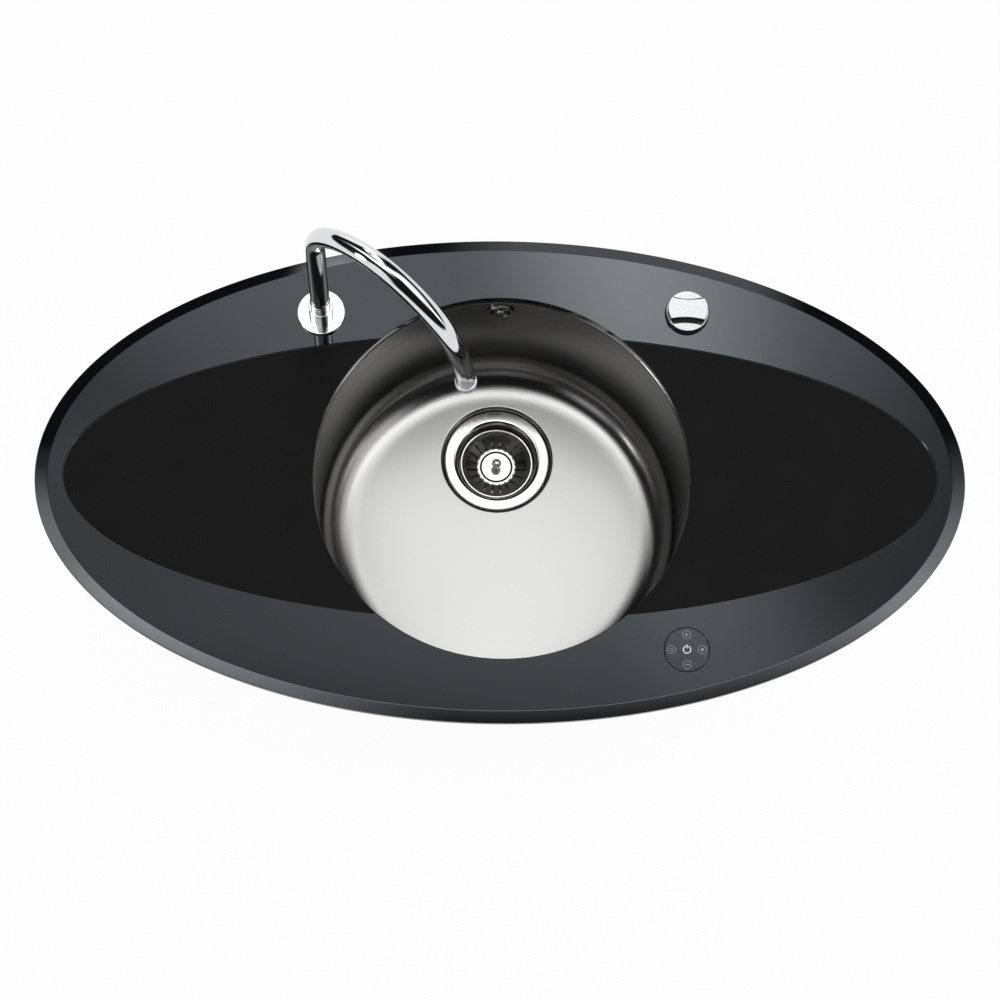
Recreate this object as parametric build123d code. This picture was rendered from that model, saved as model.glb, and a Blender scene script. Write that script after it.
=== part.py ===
from build123d import *
from math import atan, atan2, cos, degrees, pi, radians, sin, sqrt
import os

# Oval glass inset sink with a round steel bowl, lift-up basket waste, turn knob, swan-neck spout and touch pad.
# Millimetres. X to the right, Y to the rear, Z up. Z = 0 is the worktop surface, and the origin is the centre
# of the oval cut-out that the sink drops into.

# Glass top
GLASS_HALF_LENGTH = 475.0
GLASS_HALF_WIDTH = 259.0
GLASS_THICKNESS = 8.0
BEVEL_AT_ENDS = 13.7
BEVEL_AT_SIDES = 12.3
BEVEL_DROP = 2.6
DRAINER_HALF_LENGTH = 446.3
DRAINER_HALF_WIDTH = 154.0
DRAINER_DEPTH = 2.0
BOWL_OPENING_R = 193.5
OPENING_ARRIS = 0.5

# Seal under the glass rim
SEAL_THICKNESS = 2.0
SEAL_WIDTH = 8.0
SEAL_SETBACK = 3.0

# Steel underframe, bonded to the glass
FRAME_SHEET = 1.5
FRAME_SETBACK = 12.0
FRAME_RIM_HEIGHT = 16.0
FRAME_BOWL_GAP = 2.0

# Bowl
BOWL_SHEET = 1.0
BOWL_DEPTH = 195.0
BOWL_REVEAL = 1.0
BOWL_WALL_DRAFT = 3.0
BOWL_LIP_ROUND = 3.0
BOWL_FLOOR_ROUND = 44.0
BOWL_FLANGE_WIDTH = 19.5
BOWL_BOND = 1.0
BOWL_BOND_WIDTH = 12.0
BOWL_BOND_SETBACK = 2.0

# Clamps that hold the bowl flange
CLAMP_COUNT = 8
CLAMP_REACH = 9.0
CLAMP_OVERLAP = 16.0
CLAMP_WIDTH = 16.0
CLAMP_SHEET = 1.5
CLAMP_RIM_GAP = 1.0
CLAMP_STUD_R = 2.0
CLAMP_STUD_LENGTH = 9.0
CLAMP_NUT_R = 3.9
CLAMP_NUT_HEIGHT = 3.2
STUD_CLEARANCE = 0.3

# Worktop fixings
WORKTOP_THICKNESS = 38.0
FIXING_COUNT = 10
FIXING_BRACKET_WIDTH = 18.0
FIXING_BRACKET_SHEET = 2.0
FIXING_BRACKET_DEPTH = 12.0
FIXING_BRACKET_DROP = 3.0
FIXING_BRACKET_FIT = 0.45
FIXING_SCREW_R = 2.5
FIXING_SCREW_TAIL = 9.0
FIXING_HEAD_R = 4.5
FIXING_HEAD_HEIGHT = 3.0
FIXING_ARM_WIDTH = 12.0
FIXING_ARM_SHEET = 3.0
FIXING_ARM_HEEL = 5.5
FIXING_ARM_REACH = 11.0
FIXING_TOOTH = 2.0

# Waste position and recess in the bowl floor
WASTE_Y = 82.5
RECESS_TOP_R = 60.8
RECESS_FLOOR_R = 57.6
RECESS_DEPTH = 6.5
RECESS_EDGE_ROUND = 1.2
RECESS_RIM_WIDTH = 1.7
WASTE_HOLE_R = 45.4

# Waste flange and cup
FLANGE_SEAL = 1.0
FLANGE_SEAL_SETBACK = 1.0
FLANGE_R = 56.8
FLANGE_BRIGHT_R = 47.6
FLANGE_SHEET = 1.3
FLANGE_EDGE_ROUND = 1.0
CUP_INNER_R = 42.0
CUP_WALL = 1.6
CUP_SEAT_SHEET = 1.5
CUP_SEAT_HOLE_R = 21.0

# Waste underside
UNDER_GASKET = 2.5
UNDER_GASKET_R = 54.0
LOCKNUT_R = 54.0
LOCKNUT_HEIGHT = 10.0
LOCKNUT_LUGS = 8
LOCKNUT_LUG = 3.0
LOCKNUT_LUG_WIDTH = 8.0
LOCKNUT_LUG_DROP = 2.0

# Waste body
BODY_WALL = 3.0
BODY_COLLAR_WALL = 4.8
BODY_CHAMBER_INNER_R = 42.0
BODY_COLLAR_DEPTH = 24.0
BODY_STEP_TAPER = 4.0
BODY_CHAMBER_DEPTH = 26.0
BODY_CONE_DEPTH = 14.0
OUTLET_THREAD_R = 23.9
OUTLET_WALL = 3.4
OUTLET_LENGTH = 20.0
BODY_GAP = 0.5

# Strainer basket
BASKET_RIM_R = 39.7
BASKET_RIM_BELOW_FLANGE = 11.0
BASKET_SHEET = 1.0
BASKET_RIM_WIDTH = 2.0
BASKET_RIM_ARRIS = 0.4
BASKET_SLOPE_R = 34.6
BASKET_SLOPE_DROP = 4.5
BASKET_DISC_R = 21.2
BASKET_DISC_BELOW_RIM = 12.0
BASKET_DISC_THICKNESS = 1.6
BASKET_SLOTS = 20
BASKET_SLOT_WIDTH = 2.2
BASKET_SLOT_INNER_R = 22.4
BASKET_SLOT_OUTER_R = 33.6
DISC_NOTCH_R = 1.2
DISC_GROOVE_INNER_R = 16.0
DISC_GROOVE_OUTER_R = 18.1
DISC_GROOVE_DEPTH = 0.8
PULL_BALL_R = 5.4
PULL_BALL_HEIGHT = 11.8
PULL_STEM_R = 2.4
BASKET_SEAL_R = 26.0
BASKET_SEAL_THICKNESS = 2.0
BASKET_SEAL_EDGE = 1.0
BASKET_STEM_R = 3.0
BASKET_STEM_PROUD = 1.0
BASKET_NUT_ACROSS = 11.0
BASKET_NUT_HEIGHT = 2.0

# Lift mechanism
LIFT_HEIGHT = 10.0
LIFT_PIN_R = 3.0
LIFT_PIN_LENGTH = 27.0
GUIDE_HUB_R = 7.0
GUIDE_HUB_HEIGHT = 6.0
GUIDE_ARM_WIDTH = 3.0
GUIDE_ARMS = 3
GUIDE_FIRST_ARM_DEG = 30.0
CRANK_FINGER_LENGTH = 14.0
CRANK_BALL_R = 3.5
CRANK_FINGER_R = 2.0
CRANK_SHAFT_R = 4.0
CRANK_SHAFT_INNER_END = 6.0
CRANK_SHAFT_PROUD = 4.0
CRANK_BOSS_R = 9.0
CRANK_BOSS_LENGTH = 11.0
CRANK_ARM_LENGTH = 26.0
CRANK_ARM_SHEET = 3.0
CRANK_ARM_R = 7.0
CRANK_TIP_R = 4.5
CRANK_PIN_HOLE_R = 1.6
CRANK_CLIP_R = 6.0
CRANK_CLIP_SHEET = 1.5
CABLE_GLAND_BORE_R = 2.2
CABLE_GLAND_R = 4.5
CABLE_GLAND_LENGTH = 14.0
CABLE_BRACKET_SHEET = 3.0
CABLE_BRACKET_REACH = 42.0
CABLE_BRACKET_MARGIN = 2.0
CABLE_STRAP_DROP = 4.0
CABLE_STRAP_HEIGHT = 12.0

# Fits and cutting
RUNNING_CLEARANCE = 0.05
SNUG = 0.05
THREAD_CLEARANCE = 0.2
REST_GAP = 0.3
CUT = 1.0

# Overflow
OVERFLOW_BELOW_GLASS_TOP = 30.5
ROSETTE_R = 14.3
ROSETTE_DEPTH = 3.4
ROSETTE_OPENING_R = 10.6
ROSETTE_BAR = 2.6
ROSETTE_BOSS_R = 4.6
ROSETTE_DISH = 1.4
ROSETTE_INNER_CHAMFER = 1.2
ROSETTE_EDGE_CHAMFER = 1.0
ROSETTE_TAIL = 3.0
ROSETTE_EDGE_ROUND = 0.8
OVERFLOW_HOLE_R = 12.0
OVERFLOW_SEAL = 2.0
ELBOW_FLANGE_R = 16.5
ELBOW_FLANGE = 2.5
ELBOW_R = 14.5
ELBOW_WALL = 2.2
ELBOW_LENGTH = 33.0
ELBOW_SPIGOT_LENGTH = 35.0
ELBOW_BOSS_SETBACK = 8.0
OVERFLOW_SCREW_R = 2.5
OVERFLOW_SCREW_LENGTH = 22.0
OVERFLOW_SCREW_HEAD_R = 4.0
OVERFLOW_SCREW_HEAD = 1.6
SCREW_SLOT_WIDTH = 1.0
SCREW_SLOT_DEPTH = 0.8
PIPE_R = 10.3
PIPE_WALL = 1.8
PIPE_BEND_R = 40.0
PIPE_FIT = 0.2
SPIGOT_WALL = 2.3
PIPE_INSERT = 16.0
UNION_NUT_WALL = 3.5
UNION_NUT_LENGTH = 15.0
UNION_NUT_CAP = 2.5
UNION_NUT_RIBS = 8
UNION_NUT_RIB = 1.6
UNION_NUT_RIB_WIDTH = 3.0
BODY_SPIGOT_LENGTH = 24.0
BODY_SPIGOT_BELOW_COLLAR = 13.0

# Turn knob
KNOB_FROM_BOWL = 69.42
KNOB_FROM_EDGE = 58.05
KNOB_HOLE_R = 17.5
KNOB_SKIRT_R = 23.1
KNOB_SKIRT_HEIGHT = 3.0
KNOB_DISC_R = 22.2
KNOB_DISC_TOP = 7.0
KNOB_BAR_TOP = 14.5
KNOB_BAR_R = 20.9
KNOB_BAR_WAIST = 10.0
KNOB_BAR_SHOULDER = 11.9
KNOB_BAR_FLARE = 2.6
KNOB_BAR_FOOT_R = 21.2
KNOB_REST_TURN_DEG = -2.0
KNOB_EDGE_ROUND = 1.0
KNOB_SKIRT_ROUND = 0.8
KNOB_SHAFT_R = 4.0
KNOB_SOCKET_DEPTH = 7.0
KNOB_SCREW_R = 1.5
KNOB_SCREW_LENGTH = 8.0
BUSH_FLANGE_R = 19.5
BUSH_FLANGE = 2.5
BUSH_R = 16.8
BUSH_LENGTH = 30.0
CONTROL_NUT_R = 24.0
CONTROL_NUT_HEIGHT = 6.0
CONTROL_NUT_NOTCHES = 6
CONTROL_NUT_NOTCH = 2.0
CONTROL_NUT_NOTCH_WIDTH = 4.0
CONTROL_WASHER = 2.0
DRUM_HOUSING_R = 26.0
DRUM_HOUSING_HEIGHT = 20.0
DRUM_HOUSING_WALL = 2.5
DRUM_HOUSING_LAP = 8.0
DRUM_R = 12.0
DRUM_HEIGHT = 9.0
DRUM_GROOVE = 1.6
DRUM_END_GAP = 1.5
DRUM_COVER_SCREWS = 3
DRUM_SCREW_R = 1.5
DRUM_SCREW_LENGTH = 8.5
DRUM_SCREW_HEAD_R = 2.8
DRUM_SCREW_HEAD = 1.6
DRUM_SCREW_BOSS_R = 3.6
FOOT_BEARING_WALL = 3.0
FOOT_BEARING_HEIGHT = 2.0
FOOT_BEARING_FLOOR = 1.0

# Spout and its base
TAP_FROM_BOWL = 62.82
TAP_FROM_EDGE = 62.35
TAP_HOLE_R = 17.5
TAP_FLANGE_R = 24.8
TAP_FLANGE_HEIGHT = 4.0
TAP_FLANGE_ARRIS = 0.6
TAP_BODY_R = 12.75
TAP_BODY_TOP = 20.0
TAP_BODY_ROUND = 0.8
TAP_SHANK_R = 11.5
TAP_SHANK_BELOW = 52.0
TAP_SHANK_BORE_R = 6.0
TAP_SEAL_THICKNESS = 1.0
TAP_SEAL_R = 22.4
COLLAR_R = 10.6
COLLAR_TOP = 42.0
COLLAR_GROOVE = 0.8
COLLAR_GROOVES_UP = (6.0, 13.0)
COLLAR_TAPER = 2.0
SPIGOT_R = 8.0
SPIGOT_DEPTH = 24.0
SWIVEL_BORE_R = 4.5
SWIVEL_PLUG = 8.0
POCKET_SLACK = 1.0
SPOUT_R = 10.0
SPOUT_BORE_R = 8.0
SPOUT_AZIMUTH_DEG = -38.0
SPOUT_RISER_TOP = 172.0
SPOUT_BENDS = ((79.0, 112.0), (117.0, 44.0), (195.0, 20.0))
SPOUT_END_RUN = 4.0
AERATOR_COLLAR_R = 11.0
AERATOR_COLLAR_LENGTH = 8.0
AERATOR_COLLAR_PLUG = 4.0
AERATOR_COLLAR_FLOOR = 2.0
AERATOR_COLLAR_CHAMFER = 0.8
AERATOR_R = 8.6
AERATOR_WALL = 1.4
AERATOR_PROUD = 6.5
AERATOR_PLATE_SETBACK = 1.2
AERATOR_PLATE = 1.5
AERATOR_HOLE_R = 0.7
AERATOR_HOLE_RINGS_R = (0.0, 2.6, 5.2)
AERATOR_HOLE_COUNTS = (1, 6, 12)
O_RING_SECTION_R = 0.95
O_RING_GROOVE_HALF = 1.1
O_RING_FROM_ENDS = (5.0, 4.0)
TAP_NUT_ACROSS = 34.0
TAP_NUT_HEIGHT = 8.0
TAP_RUBBER = 3.0
TAP_RUBBER_R = 23.0
TAP_WASHER = 2.5
TAP_WASHER_R = 22.0
INLET_R = 8.3
INLET_LENGTH = 12.0
INLET_BORE_R = 5.0
INLET_PLUG = 10.0
INLET_COLLAR_ACROSS = 21.0
INLET_COLLAR = 4.0
GRUB_R = 2.0
GRUB_ABOVE_FLANGE = 3.5
GRUB_SUNK = 0.4
GRUB_GROOVE_SLACK = 0.5

# Touch pad
PAD_FROM_BOWL = 66.86
PAD_FROM_EDGE = 54.72
PAD_R = 22.7
PAD_GAP = 0.35
PAD_THICKNESS = 6.0
ICON_PITCH = 15.4
ICON_R = 4.4
ICON_LINE = 0.55
ICON_BAR = 0.9
ICON_SPOT_R = 1.6
ICON_INLAY = 0.15
POWER_R = 4.2
POWER_LINE = 1.0
POWER_GAP_DEG = 50.0
POWER_STROKE_FOOT = 0.3
PAD_BOND_SETBACK = 1.0
PAD_BOND_WIDTH = 5.0
SENSOR_R = 27.0
SENSOR_FRAME_GAP = 0.5
SENSOR_HEIGHT = 16.0
SENSOR_WALL = 2.0
SENSOR_LID_PLUG = 2.0
SENSOR_GLAND_R = 5.0
SENSOR_GLAND_LENGTH = 12.0
SENSOR_CABLE_R = 2.6


def place_outside_bowl(from_bowl, from_edge):
    # X and Y of a point this far outside the bowl's opening and this far inside the glass's edge.
    half_length = GLASS_HALF_LENGTH - from_edge
    half_width = GLASS_HALF_WIDTH - from_edge
    distance = BOWL_OPENING_R + from_bowl
    x = sqrt((distance**2 - half_width**2) / (1 - (half_width / half_length) ** 2))
    return x, sqrt(distance**2 - x**2)


# Places and heights worked out from the values above
TAP_X = -place_outside_bowl(TAP_FROM_BOWL, TAP_FROM_EDGE)[0]
TAP_Y = place_outside_bowl(TAP_FROM_BOWL, TAP_FROM_EDGE)[1]
KNOB_X, KNOB_Y = place_outside_bowl(KNOB_FROM_BOWL, KNOB_FROM_EDGE)
PAD_X = place_outside_bowl(PAD_FROM_BOWL, PAD_FROM_EDGE)[0]
PAD_Y = -place_outside_bowl(PAD_FROM_BOWL, PAD_FROM_EDGE)[1]
BOWL_WALL_TOP_R = BOWL_OPENING_R - BOWL_REVEAL
BOWL_WALL_FOOT_R = BOWL_WALL_TOP_R - BOWL_WALL_DRAFT
BOWL_FLANGE_R = BOWL_WALL_TOP_R + BOWL_FLANGE_WIDTH
GLASS_BOTTOM = SEAL_THICKNESS
GLASS_TOP = GLASS_BOTTOM + GLASS_THICKNESS
FRAME_BOTTOM = GLASS_BOTTOM - FRAME_SHEET
FRAME_HALF_LENGTH = GLASS_HALF_LENGTH - SEAL_SETBACK - SEAL_WIDTH - FRAME_SETBACK
FRAME_HALF_WIDTH = GLASS_HALF_WIDTH - SEAL_SETBACK - SEAL_WIDTH - FRAME_SETBACK
BOWL_FLANGE_TOP = GLASS_BOTTOM - BOWL_BOND
BOWL_FLOOR = GLASS_TOP - BOWL_DEPTH
RECESS_FLOOR = BOWL_FLOOR - RECESS_DEPTH
FLANGE_UNDERSIDE = RECESS_FLOOR + FLANGE_SEAL
FLANGE_TOP = FLANGE_UNDERSIDE + FLANGE_SHEET
CUP_R = CUP_INNER_R + CUP_WALL
BOWL_RECESS_UNDERSIDE = RECESS_FLOOR - BOWL_SHEET
LOCKNUT_TOP = BOWL_RECESS_UNDERSIDE - UNDER_GASKET
BODY_TOP = LOCKNUT_TOP - LOCKNUT_HEIGHT - BODY_GAP
BODY_STEP = BODY_TOP - BODY_COLLAR_DEPTH
CUP_BARREL_FOOT = BODY_STEP + BODY_GAP
BODY_CONE_TOP = BODY_STEP - BODY_CHAMBER_DEPTH
OUTLET_TOP = BODY_CONE_TOP - BODY_CONE_DEPTH
OUTLET_FOOT = OUTLET_TOP - OUTLET_LENGTH
BASKET_RIM_TOP = FLANGE_TOP - BASKET_RIM_BELOW_FLANGE
BASKET_DISC_TOP = BASKET_RIM_TOP - BASKET_DISC_BELOW_RIM
BASKET_FLOOR_TOP = BASKET_DISC_TOP - BASKET_DISC_THICKNESS
BASKET_FLOOR_BOTTOM = BASKET_FLOOR_TOP - BASKET_SHEET
BASKET_SEAL_BOTTOM = BASKET_FLOOR_BOTTOM - BASKET_SEAL_THICKNESS
CUP_SEAT = BASKET_SEAL_BOTTOM - REST_GAP
BASKET_STEM_FOOT = BASKET_SEAL_BOTTOM - BASKET_NUT_HEIGHT - BASKET_STEM_PROUD
PIN_TOP = BASKET_STEM_FOOT - REST_GAP
PIN_FOOT = PIN_TOP - LIFT_PIN_LENGTH
CRANK_HALF_TURN_DEG = degrees(atan(LIFT_HEIGHT / 2 / sqrt(CRANK_FINGER_LENGTH**2 - (LIFT_HEIGHT / 2) ** 2)))
CRANK_Z = PIN_FOOT - REST_GAP - CRANK_BALL_R + LIFT_HEIGHT / 2
CRANK_Y = WASTE_Y - CRANK_FINGER_LENGTH
CRANK_ARM_X = BODY_CHAMBER_INNER_R + BODY_WALL + CRANK_BOSS_LENGTH + REST_GAP
CABLE_Z = CRANK_Z - CRANK_ARM_LENGTH * cos(radians(CRANK_HALF_TURN_DEG))
GLAND_X = CRANK_ARM_X + CRANK_ARM_SHEET / 2
GLAND_Y = CRANK_Y + CABLE_BRACKET_REACH
OVERFLOW_Z = GLASS_TOP - OVERFLOW_BELOW_GLASS_TOP
WALL_SLOPE = (BOWL_WALL_TOP_R - BOWL_WALL_FOOT_R) / (BOWL_FLANGE_TOP - BOWL_FLOOR)
OVERFLOW_WALL_R = BOWL_WALL_TOP_R - WALL_SLOPE * (BOWL_FLANGE_TOP - OVERFLOW_Z)
ELBOW_FACE_Y = OVERFLOW_WALL_R + BOWL_SHEET + OVERFLOW_SEAL
PIPE_Y = ELBOW_FACE_Y + ELBOW_LENGTH - ELBOW_R
SPIGOT_INNER_R = PIPE_R + PIPE_FIT
SPIGOT_OUTER_R = SPIGOT_INNER_R + SPIGOT_WALL
SPIGOT_Z = BODY_STEP - BODY_SPIGOT_BELOW_COLLAR
SPIGOT_END_Y = WASTE_Y + BODY_CHAMBER_INNER_R + BODY_SPIGOT_LENGTH
KNOB_FOOT_Z = GLASS_TOP + KNOB_SKIRT_HEIGHT + REST_GAP
KNOB_SCREW_Z = KNOB_FOOT_Z + KNOB_SCREW_R + REST_GAP
KNOB_TOP_Z = GLASS_TOP + KNOB_BAR_TOP
BUSH_FOOT = GLASS_TOP - BUSH_LENGTH
HOUSING_FLOOR = BUSH_FOOT - DRUM_HOUSING_HEIGHT
COVER_FOOT = HOUSING_FLOOR - DRUM_HOUSING_WALL
DRUM_TOP = BUSH_FOOT - DRUM_HOUSING_WALL - DRUM_END_GAP
DRUM_MIDDLE = DRUM_TOP - DRUM_HEIGHT / 2
CABLE_DIRECTION_DEG = degrees(atan2(GLAND_Y - KNOB_Y, GLAND_X - KNOB_X))
TAP_SHOULDER = GLASS_TOP + TAP_FLANGE_HEIGHT
TAP_TOP = GLASS_TOP + TAP_BODY_TOP
TAP_FOOT = GLASS_TOP - TAP_SHANK_BELOW
TAP_GRUB_Z = TAP_SHOULDER + GRUB_ABOVE_FLANGE
TAP_NECK_Z = GLASS_TOP + COLLAR_TOP
SENSOR_FOOT = GLASS_BOTTOM - SENSOR_HEIGHT


def at(x, y, shape):
    return Pos(x, y, 0) * shape


def tube(outer_r, inner_r, low, high):
    ring = Circle(outer_r) - Circle(inner_r)
    return extrude(Pos(0, 0, low) * ring, amount=high - low)


def rod(r, low, high):
    return extrude(Pos(0, 0, low) * Circle(r), amount=high - low)


def turned(points, rounds=()):
    # A solid of revolution about Z. points are (radius, height); rounds are (corner number, radius).
    face = make_face(Polyline(*points, close=True))
    for corner, radius in rounds:
        vertex = face.vertices().sort_by_distance(points[corner])[0]
        face = fillet(vertex, radius=radius)
    return revolve(Plane.XZ * face, axis=Axis.Z)


def oval(half_length, half_width, low, high):
    return extrude(Pos(0, 0, low) * Ellipse(half_length, half_width), amount=high - low)


def oval_ring(half_length, half_width, wall, low, high):
    ring = Ellipse(half_length, half_width) - Ellipse(half_length - wall, half_width - wall)
    return extrude(Pos(0, 0, low) * ring, amount=high - low)


def hexagon(across, low, high):
    return extrude(Pos(0, 0, low) * RegularPolygon(across / sqrt(3), 6), amount=high - low)


def block(x0, x1, y0, y1, z0, z1):
    centre = Pos((x0 + x1) / 2, (y0 + y1) / 2, (z0 + z1) / 2)
    return centre * Box(x1 - x0, y1 - y0, z1 - z0)


def along_y(shape, y, z):
    # Lays a shape made along Z on the Y axis: its foot at y, its height pointing to the rear.
    return Pos(0, y, z) * Rot(-90, 0, 0) * shape


def along_x(shape, x, y, z):
    return Pos(x, y, z) * Rot(0, 90, 0) * shape


def pipe_along(path, outer_r, inner_r):
    start = Plane(origin=path @ 0, z_dir=path % 0)
    return sweep(start * Circle(outer_r), path=path) - sweep(start * Circle(inner_r), path=path)


def group(shapes):
    return Compound(children=[s for shape in shapes for s in shape.solids()])


def around(count, shape, first=0.0):
    return [Rot(0, 0, first + 360.0 * i / count) * shape for i in range(count)]


def save(name, shape):
    solids = shape.solids()
    export_step(solids[0] if len(solids) == 1 else Compound(children=list(solids)), f"parts/{name}.step")


# Glass top and what is bonded under it

def glass_top():
    edge = Ellipse(GLASS_HALF_LENGTH, GLASS_HALF_WIDTH)
    face = Ellipse(GLASS_HALF_LENGTH - BEVEL_AT_ENDS, GLASS_HALF_WIDTH - BEVEL_AT_SIDES)
    upper = loft([Pos(0, 0, GLASS_TOP - BEVEL_DROP) * edge, Pos(0, 0, GLASS_TOP) * face], ruled=True)
    glass = upper + oval(GLASS_HALF_LENGTH, GLASS_HALF_WIDTH, GLASS_BOTTOM, GLASS_TOP - BEVEL_DROP)
    glass -= oval(DRAINER_HALF_LENGTH, DRAINER_HALF_WIDTH, GLASS_TOP - DRAINER_DEPTH, GLASS_TOP + CUT)
    opening = [
        (0, GLASS_BOTTOM - CUT),
        (BOWL_OPENING_R, GLASS_BOTTOM - CUT),
        (BOWL_OPENING_R, GLASS_TOP - OPENING_ARRIS),
        (BOWL_OPENING_R + 2 * OPENING_ARRIS, GLASS_TOP + OPENING_ARRIS),
        (0, GLASS_TOP + OPENING_ARRIS),
    ]
    glass -= turned(opening)
    for x, y, r in ((TAP_X, TAP_Y, TAP_HOLE_R), (KNOB_X, KNOB_Y, KNOB_HOLE_R), (PAD_X, PAD_Y, PAD_R + PAD_GAP)):
        glass -= at(x, y, rod(r, GLASS_BOTTOM - CUT, GLASS_TOP + CUT))
    return glass


def seal_strip():
    return oval_ring(
        GLASS_HALF_LENGTH - SEAL_SETBACK, GLASS_HALF_WIDTH - SEAL_SETBACK, SEAL_WIDTH, 0.0, GLASS_BOTTOM
    )


def clamp_angles():
    # Even steps round the bowl, drawn in towards the two ends where the frame's rim comes too close.
    outer = BOWL_FLANGE_R + CLAMP_REACH + CLAMP_OVERLAP / 2
    reach = sqrt(outer**2 + CLAMP_WIDTH**2 / 4) + CLAMP_RIM_GAP
    along = 1 / (FRAME_HALF_LENGTH - FRAME_SHEET) ** 2
    across = 1 / (FRAME_HALF_WIDTH - FRAME_SHEET) ** 2
    share = (1 / reach**2 - along) / (across - along)
    room = degrees(atan2(sqrt(share), sqrt(max(0.0, 1 - share))) - atan2(CLAMP_WIDTH / 2, outer))
    steepest = 90.0 - 180.0 / CLAMP_COUNT
    draw = min(1.0, room / steepest)
    even = [360.0 * (i + 0.5) / CLAMP_COUNT for i in range(CLAMP_COUNT)]
    ends = [180.0 * round(angle / 180.0) for angle in even]
    return [end + draw * (angle - end) for angle, end in zip(even, ends)]


def underframe():
    frame = oval(FRAME_HALF_LENGTH, FRAME_HALF_WIDTH, FRAME_BOTTOM, GLASS_BOTTOM)
    frame += oval_ring(
        FRAME_HALF_LENGTH, FRAME_HALF_WIDTH, FRAME_SHEET, GLASS_BOTTOM - FRAME_RIM_HEIGHT, FRAME_BOTTOM
    )
    frame -= rod(BOWL_FLANGE_R + FRAME_BOWL_GAP, FRAME_BOTTOM - CUT, GLASS_BOTTOM + CUT)
    for x, y, r in ((TAP_X, TAP_Y, TAP_HOLE_R), (KNOB_X, KNOB_Y, KNOB_HOLE_R)):
        frame -= at(x, y, rod(r, FRAME_BOTTOM - CUT, GLASS_BOTTOM + CUT))
    frame -= at(PAD_X, PAD_Y, rod(SENSOR_R + SENSOR_FRAME_GAP, FRAME_BOTTOM - CUT, GLASS_BOTTOM + CUT))
    stud = rod(CLAMP_STUD_R, FRAME_BOTTOM - CLAMP_STUD_LENGTH, FRAME_BOTTOM)
    stud = Pos(BOWL_FLANGE_R + CLAMP_REACH, 0, 0) * stud
    for angle in clamp_angles():
        frame += Rot(0, 0, angle) * stud
    return frame


def bowl_bond():
    inner = BOWL_OPENING_R + BOWL_BOND_SETBACK
    return tube(inner + BOWL_BOND_WIDTH, inner, BOWL_FLANGE_TOP, GLASS_BOTTOM)


# Bowl

def bowl():
    top = BOWL_FLANGE_TOP
    t = BOWL_SHEET
    section = [
        (0, BOWL_FLOOR),
        (BOWL_WALL_FOOT_R, BOWL_FLOOR),
        (BOWL_WALL_TOP_R, top),
        (BOWL_FLANGE_R, top),
        (BOWL_FLANGE_R, top - t),
        (BOWL_WALL_TOP_R + t, top - t),
        (BOWL_WALL_FOOT_R + t, BOWL_FLOOR - t),
        (0, BOWL_FLOOR - t),
    ]
    rounds = (
        (1, BOWL_FLOOR_ROUND),
        (2, BOWL_LIP_ROUND),
        (5, BOWL_LIP_ROUND - t),
        (6, BOWL_FLOOR_ROUND + t),
    )
    shell = turned(section, rounds)
    rim_r = RECESS_TOP_R + RECESS_RIM_WIDTH
    shell -= at(0, WASTE_Y, rod(rim_r, BOWL_FLOOR - 2 * t, BOWL_FLOOR + t))
    recess = [
        (WASTE_HOLE_R, RECESS_FLOOR),
        (RECESS_FLOOR_R, RECESS_FLOOR),
        (RECESS_TOP_R, BOWL_FLOOR),
        (rim_r, BOWL_FLOOR),
        (rim_r, BOWL_FLOOR - t),
        (RECESS_TOP_R + t, BOWL_FLOOR - t),
        (RECESS_FLOOR_R + t, RECESS_FLOOR - t),
        (WASTE_HOLE_R, RECESS_FLOOR - t),
    ]
    shell += at(0, WASTE_Y, turned(recess, ((2, RECESS_EDGE_ROUND), (1, RECESS_EDGE_ROUND))))
    shell -= along_y(rod(OVERFLOW_HOLE_R, 0, BOWL_FLANGE_R), OVERFLOW_WALL_R / 2, OVERFLOW_Z)
    return shell


def bowl_clamps():
    inner = BOWL_FLANGE_R - CLAMP_OVERLAP / 2
    outer = BOWL_FLANGE_R + CLAMP_REACH + CLAMP_OVERLAP / 2
    top = BOWL_FLANGE_TOP - BOWL_SHEET
    half = CLAMP_WIDTH / 2
    clamp = block(inner, outer, -half, half, top - CLAMP_SHEET, top)
    clamp += block(outer - CLAMP_SHEET, outer, -half, half, top, FRAME_BOTTOM)
    hole = rod(CLAMP_STUD_R + STUD_CLEARANCE, top - CLAMP_SHEET - CUT, top + CUT)
    clamp -= Pos(BOWL_FLANGE_R + CLAMP_REACH, 0, 0) * hole
    return group([Rot(0, 0, angle) * clamp for angle in clamp_angles()])


def clamp_nuts():
    top = BOWL_FLANGE_TOP - BOWL_SHEET - CLAMP_SHEET
    nut = hexagon(2 * CLAMP_NUT_R, top - CLAMP_NUT_HEIGHT, top)
    nut -= rod(CLAMP_STUD_R + THREAD_CLEARANCE, top - CLAMP_NUT_HEIGHT - CUT, top + CUT)
    nut = Pos(BOWL_FLANGE_R + CLAMP_REACH, 0, 0) * nut
    return group([Rot(0, 0, angle) * nut for angle in clamp_angles()])


# Worktop fixings

def fixing_places():
    # Points on the underframe rim's outer face, each with the outward direction there.
    places = []
    for i in range(FIXING_COUNT):
        t = 2 * pi * i / FIXING_COUNT
        x = FRAME_HALF_LENGTH * cos(t)
        y = FRAME_HALF_WIDTH * sin(t)
        angle = degrees(atan2(y / FRAME_HALF_WIDTH**2, x / FRAME_HALF_LENGTH**2))
        places.append(Pos(x, y, 0) * Rot(0, 0, angle))
    return places


FIXING_BACK_X = -FRAME_SHEET - FIXING_BRACKET_FIT
FIXING_SCREW_X = FIXING_BACK_X - FIXING_BRACKET_SHEET - FIXING_BRACKET_DEPTH / 2
FIXING_ARM_TOP = -WORKTOP_THICKNESS - FIXING_TOOTH


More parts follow.
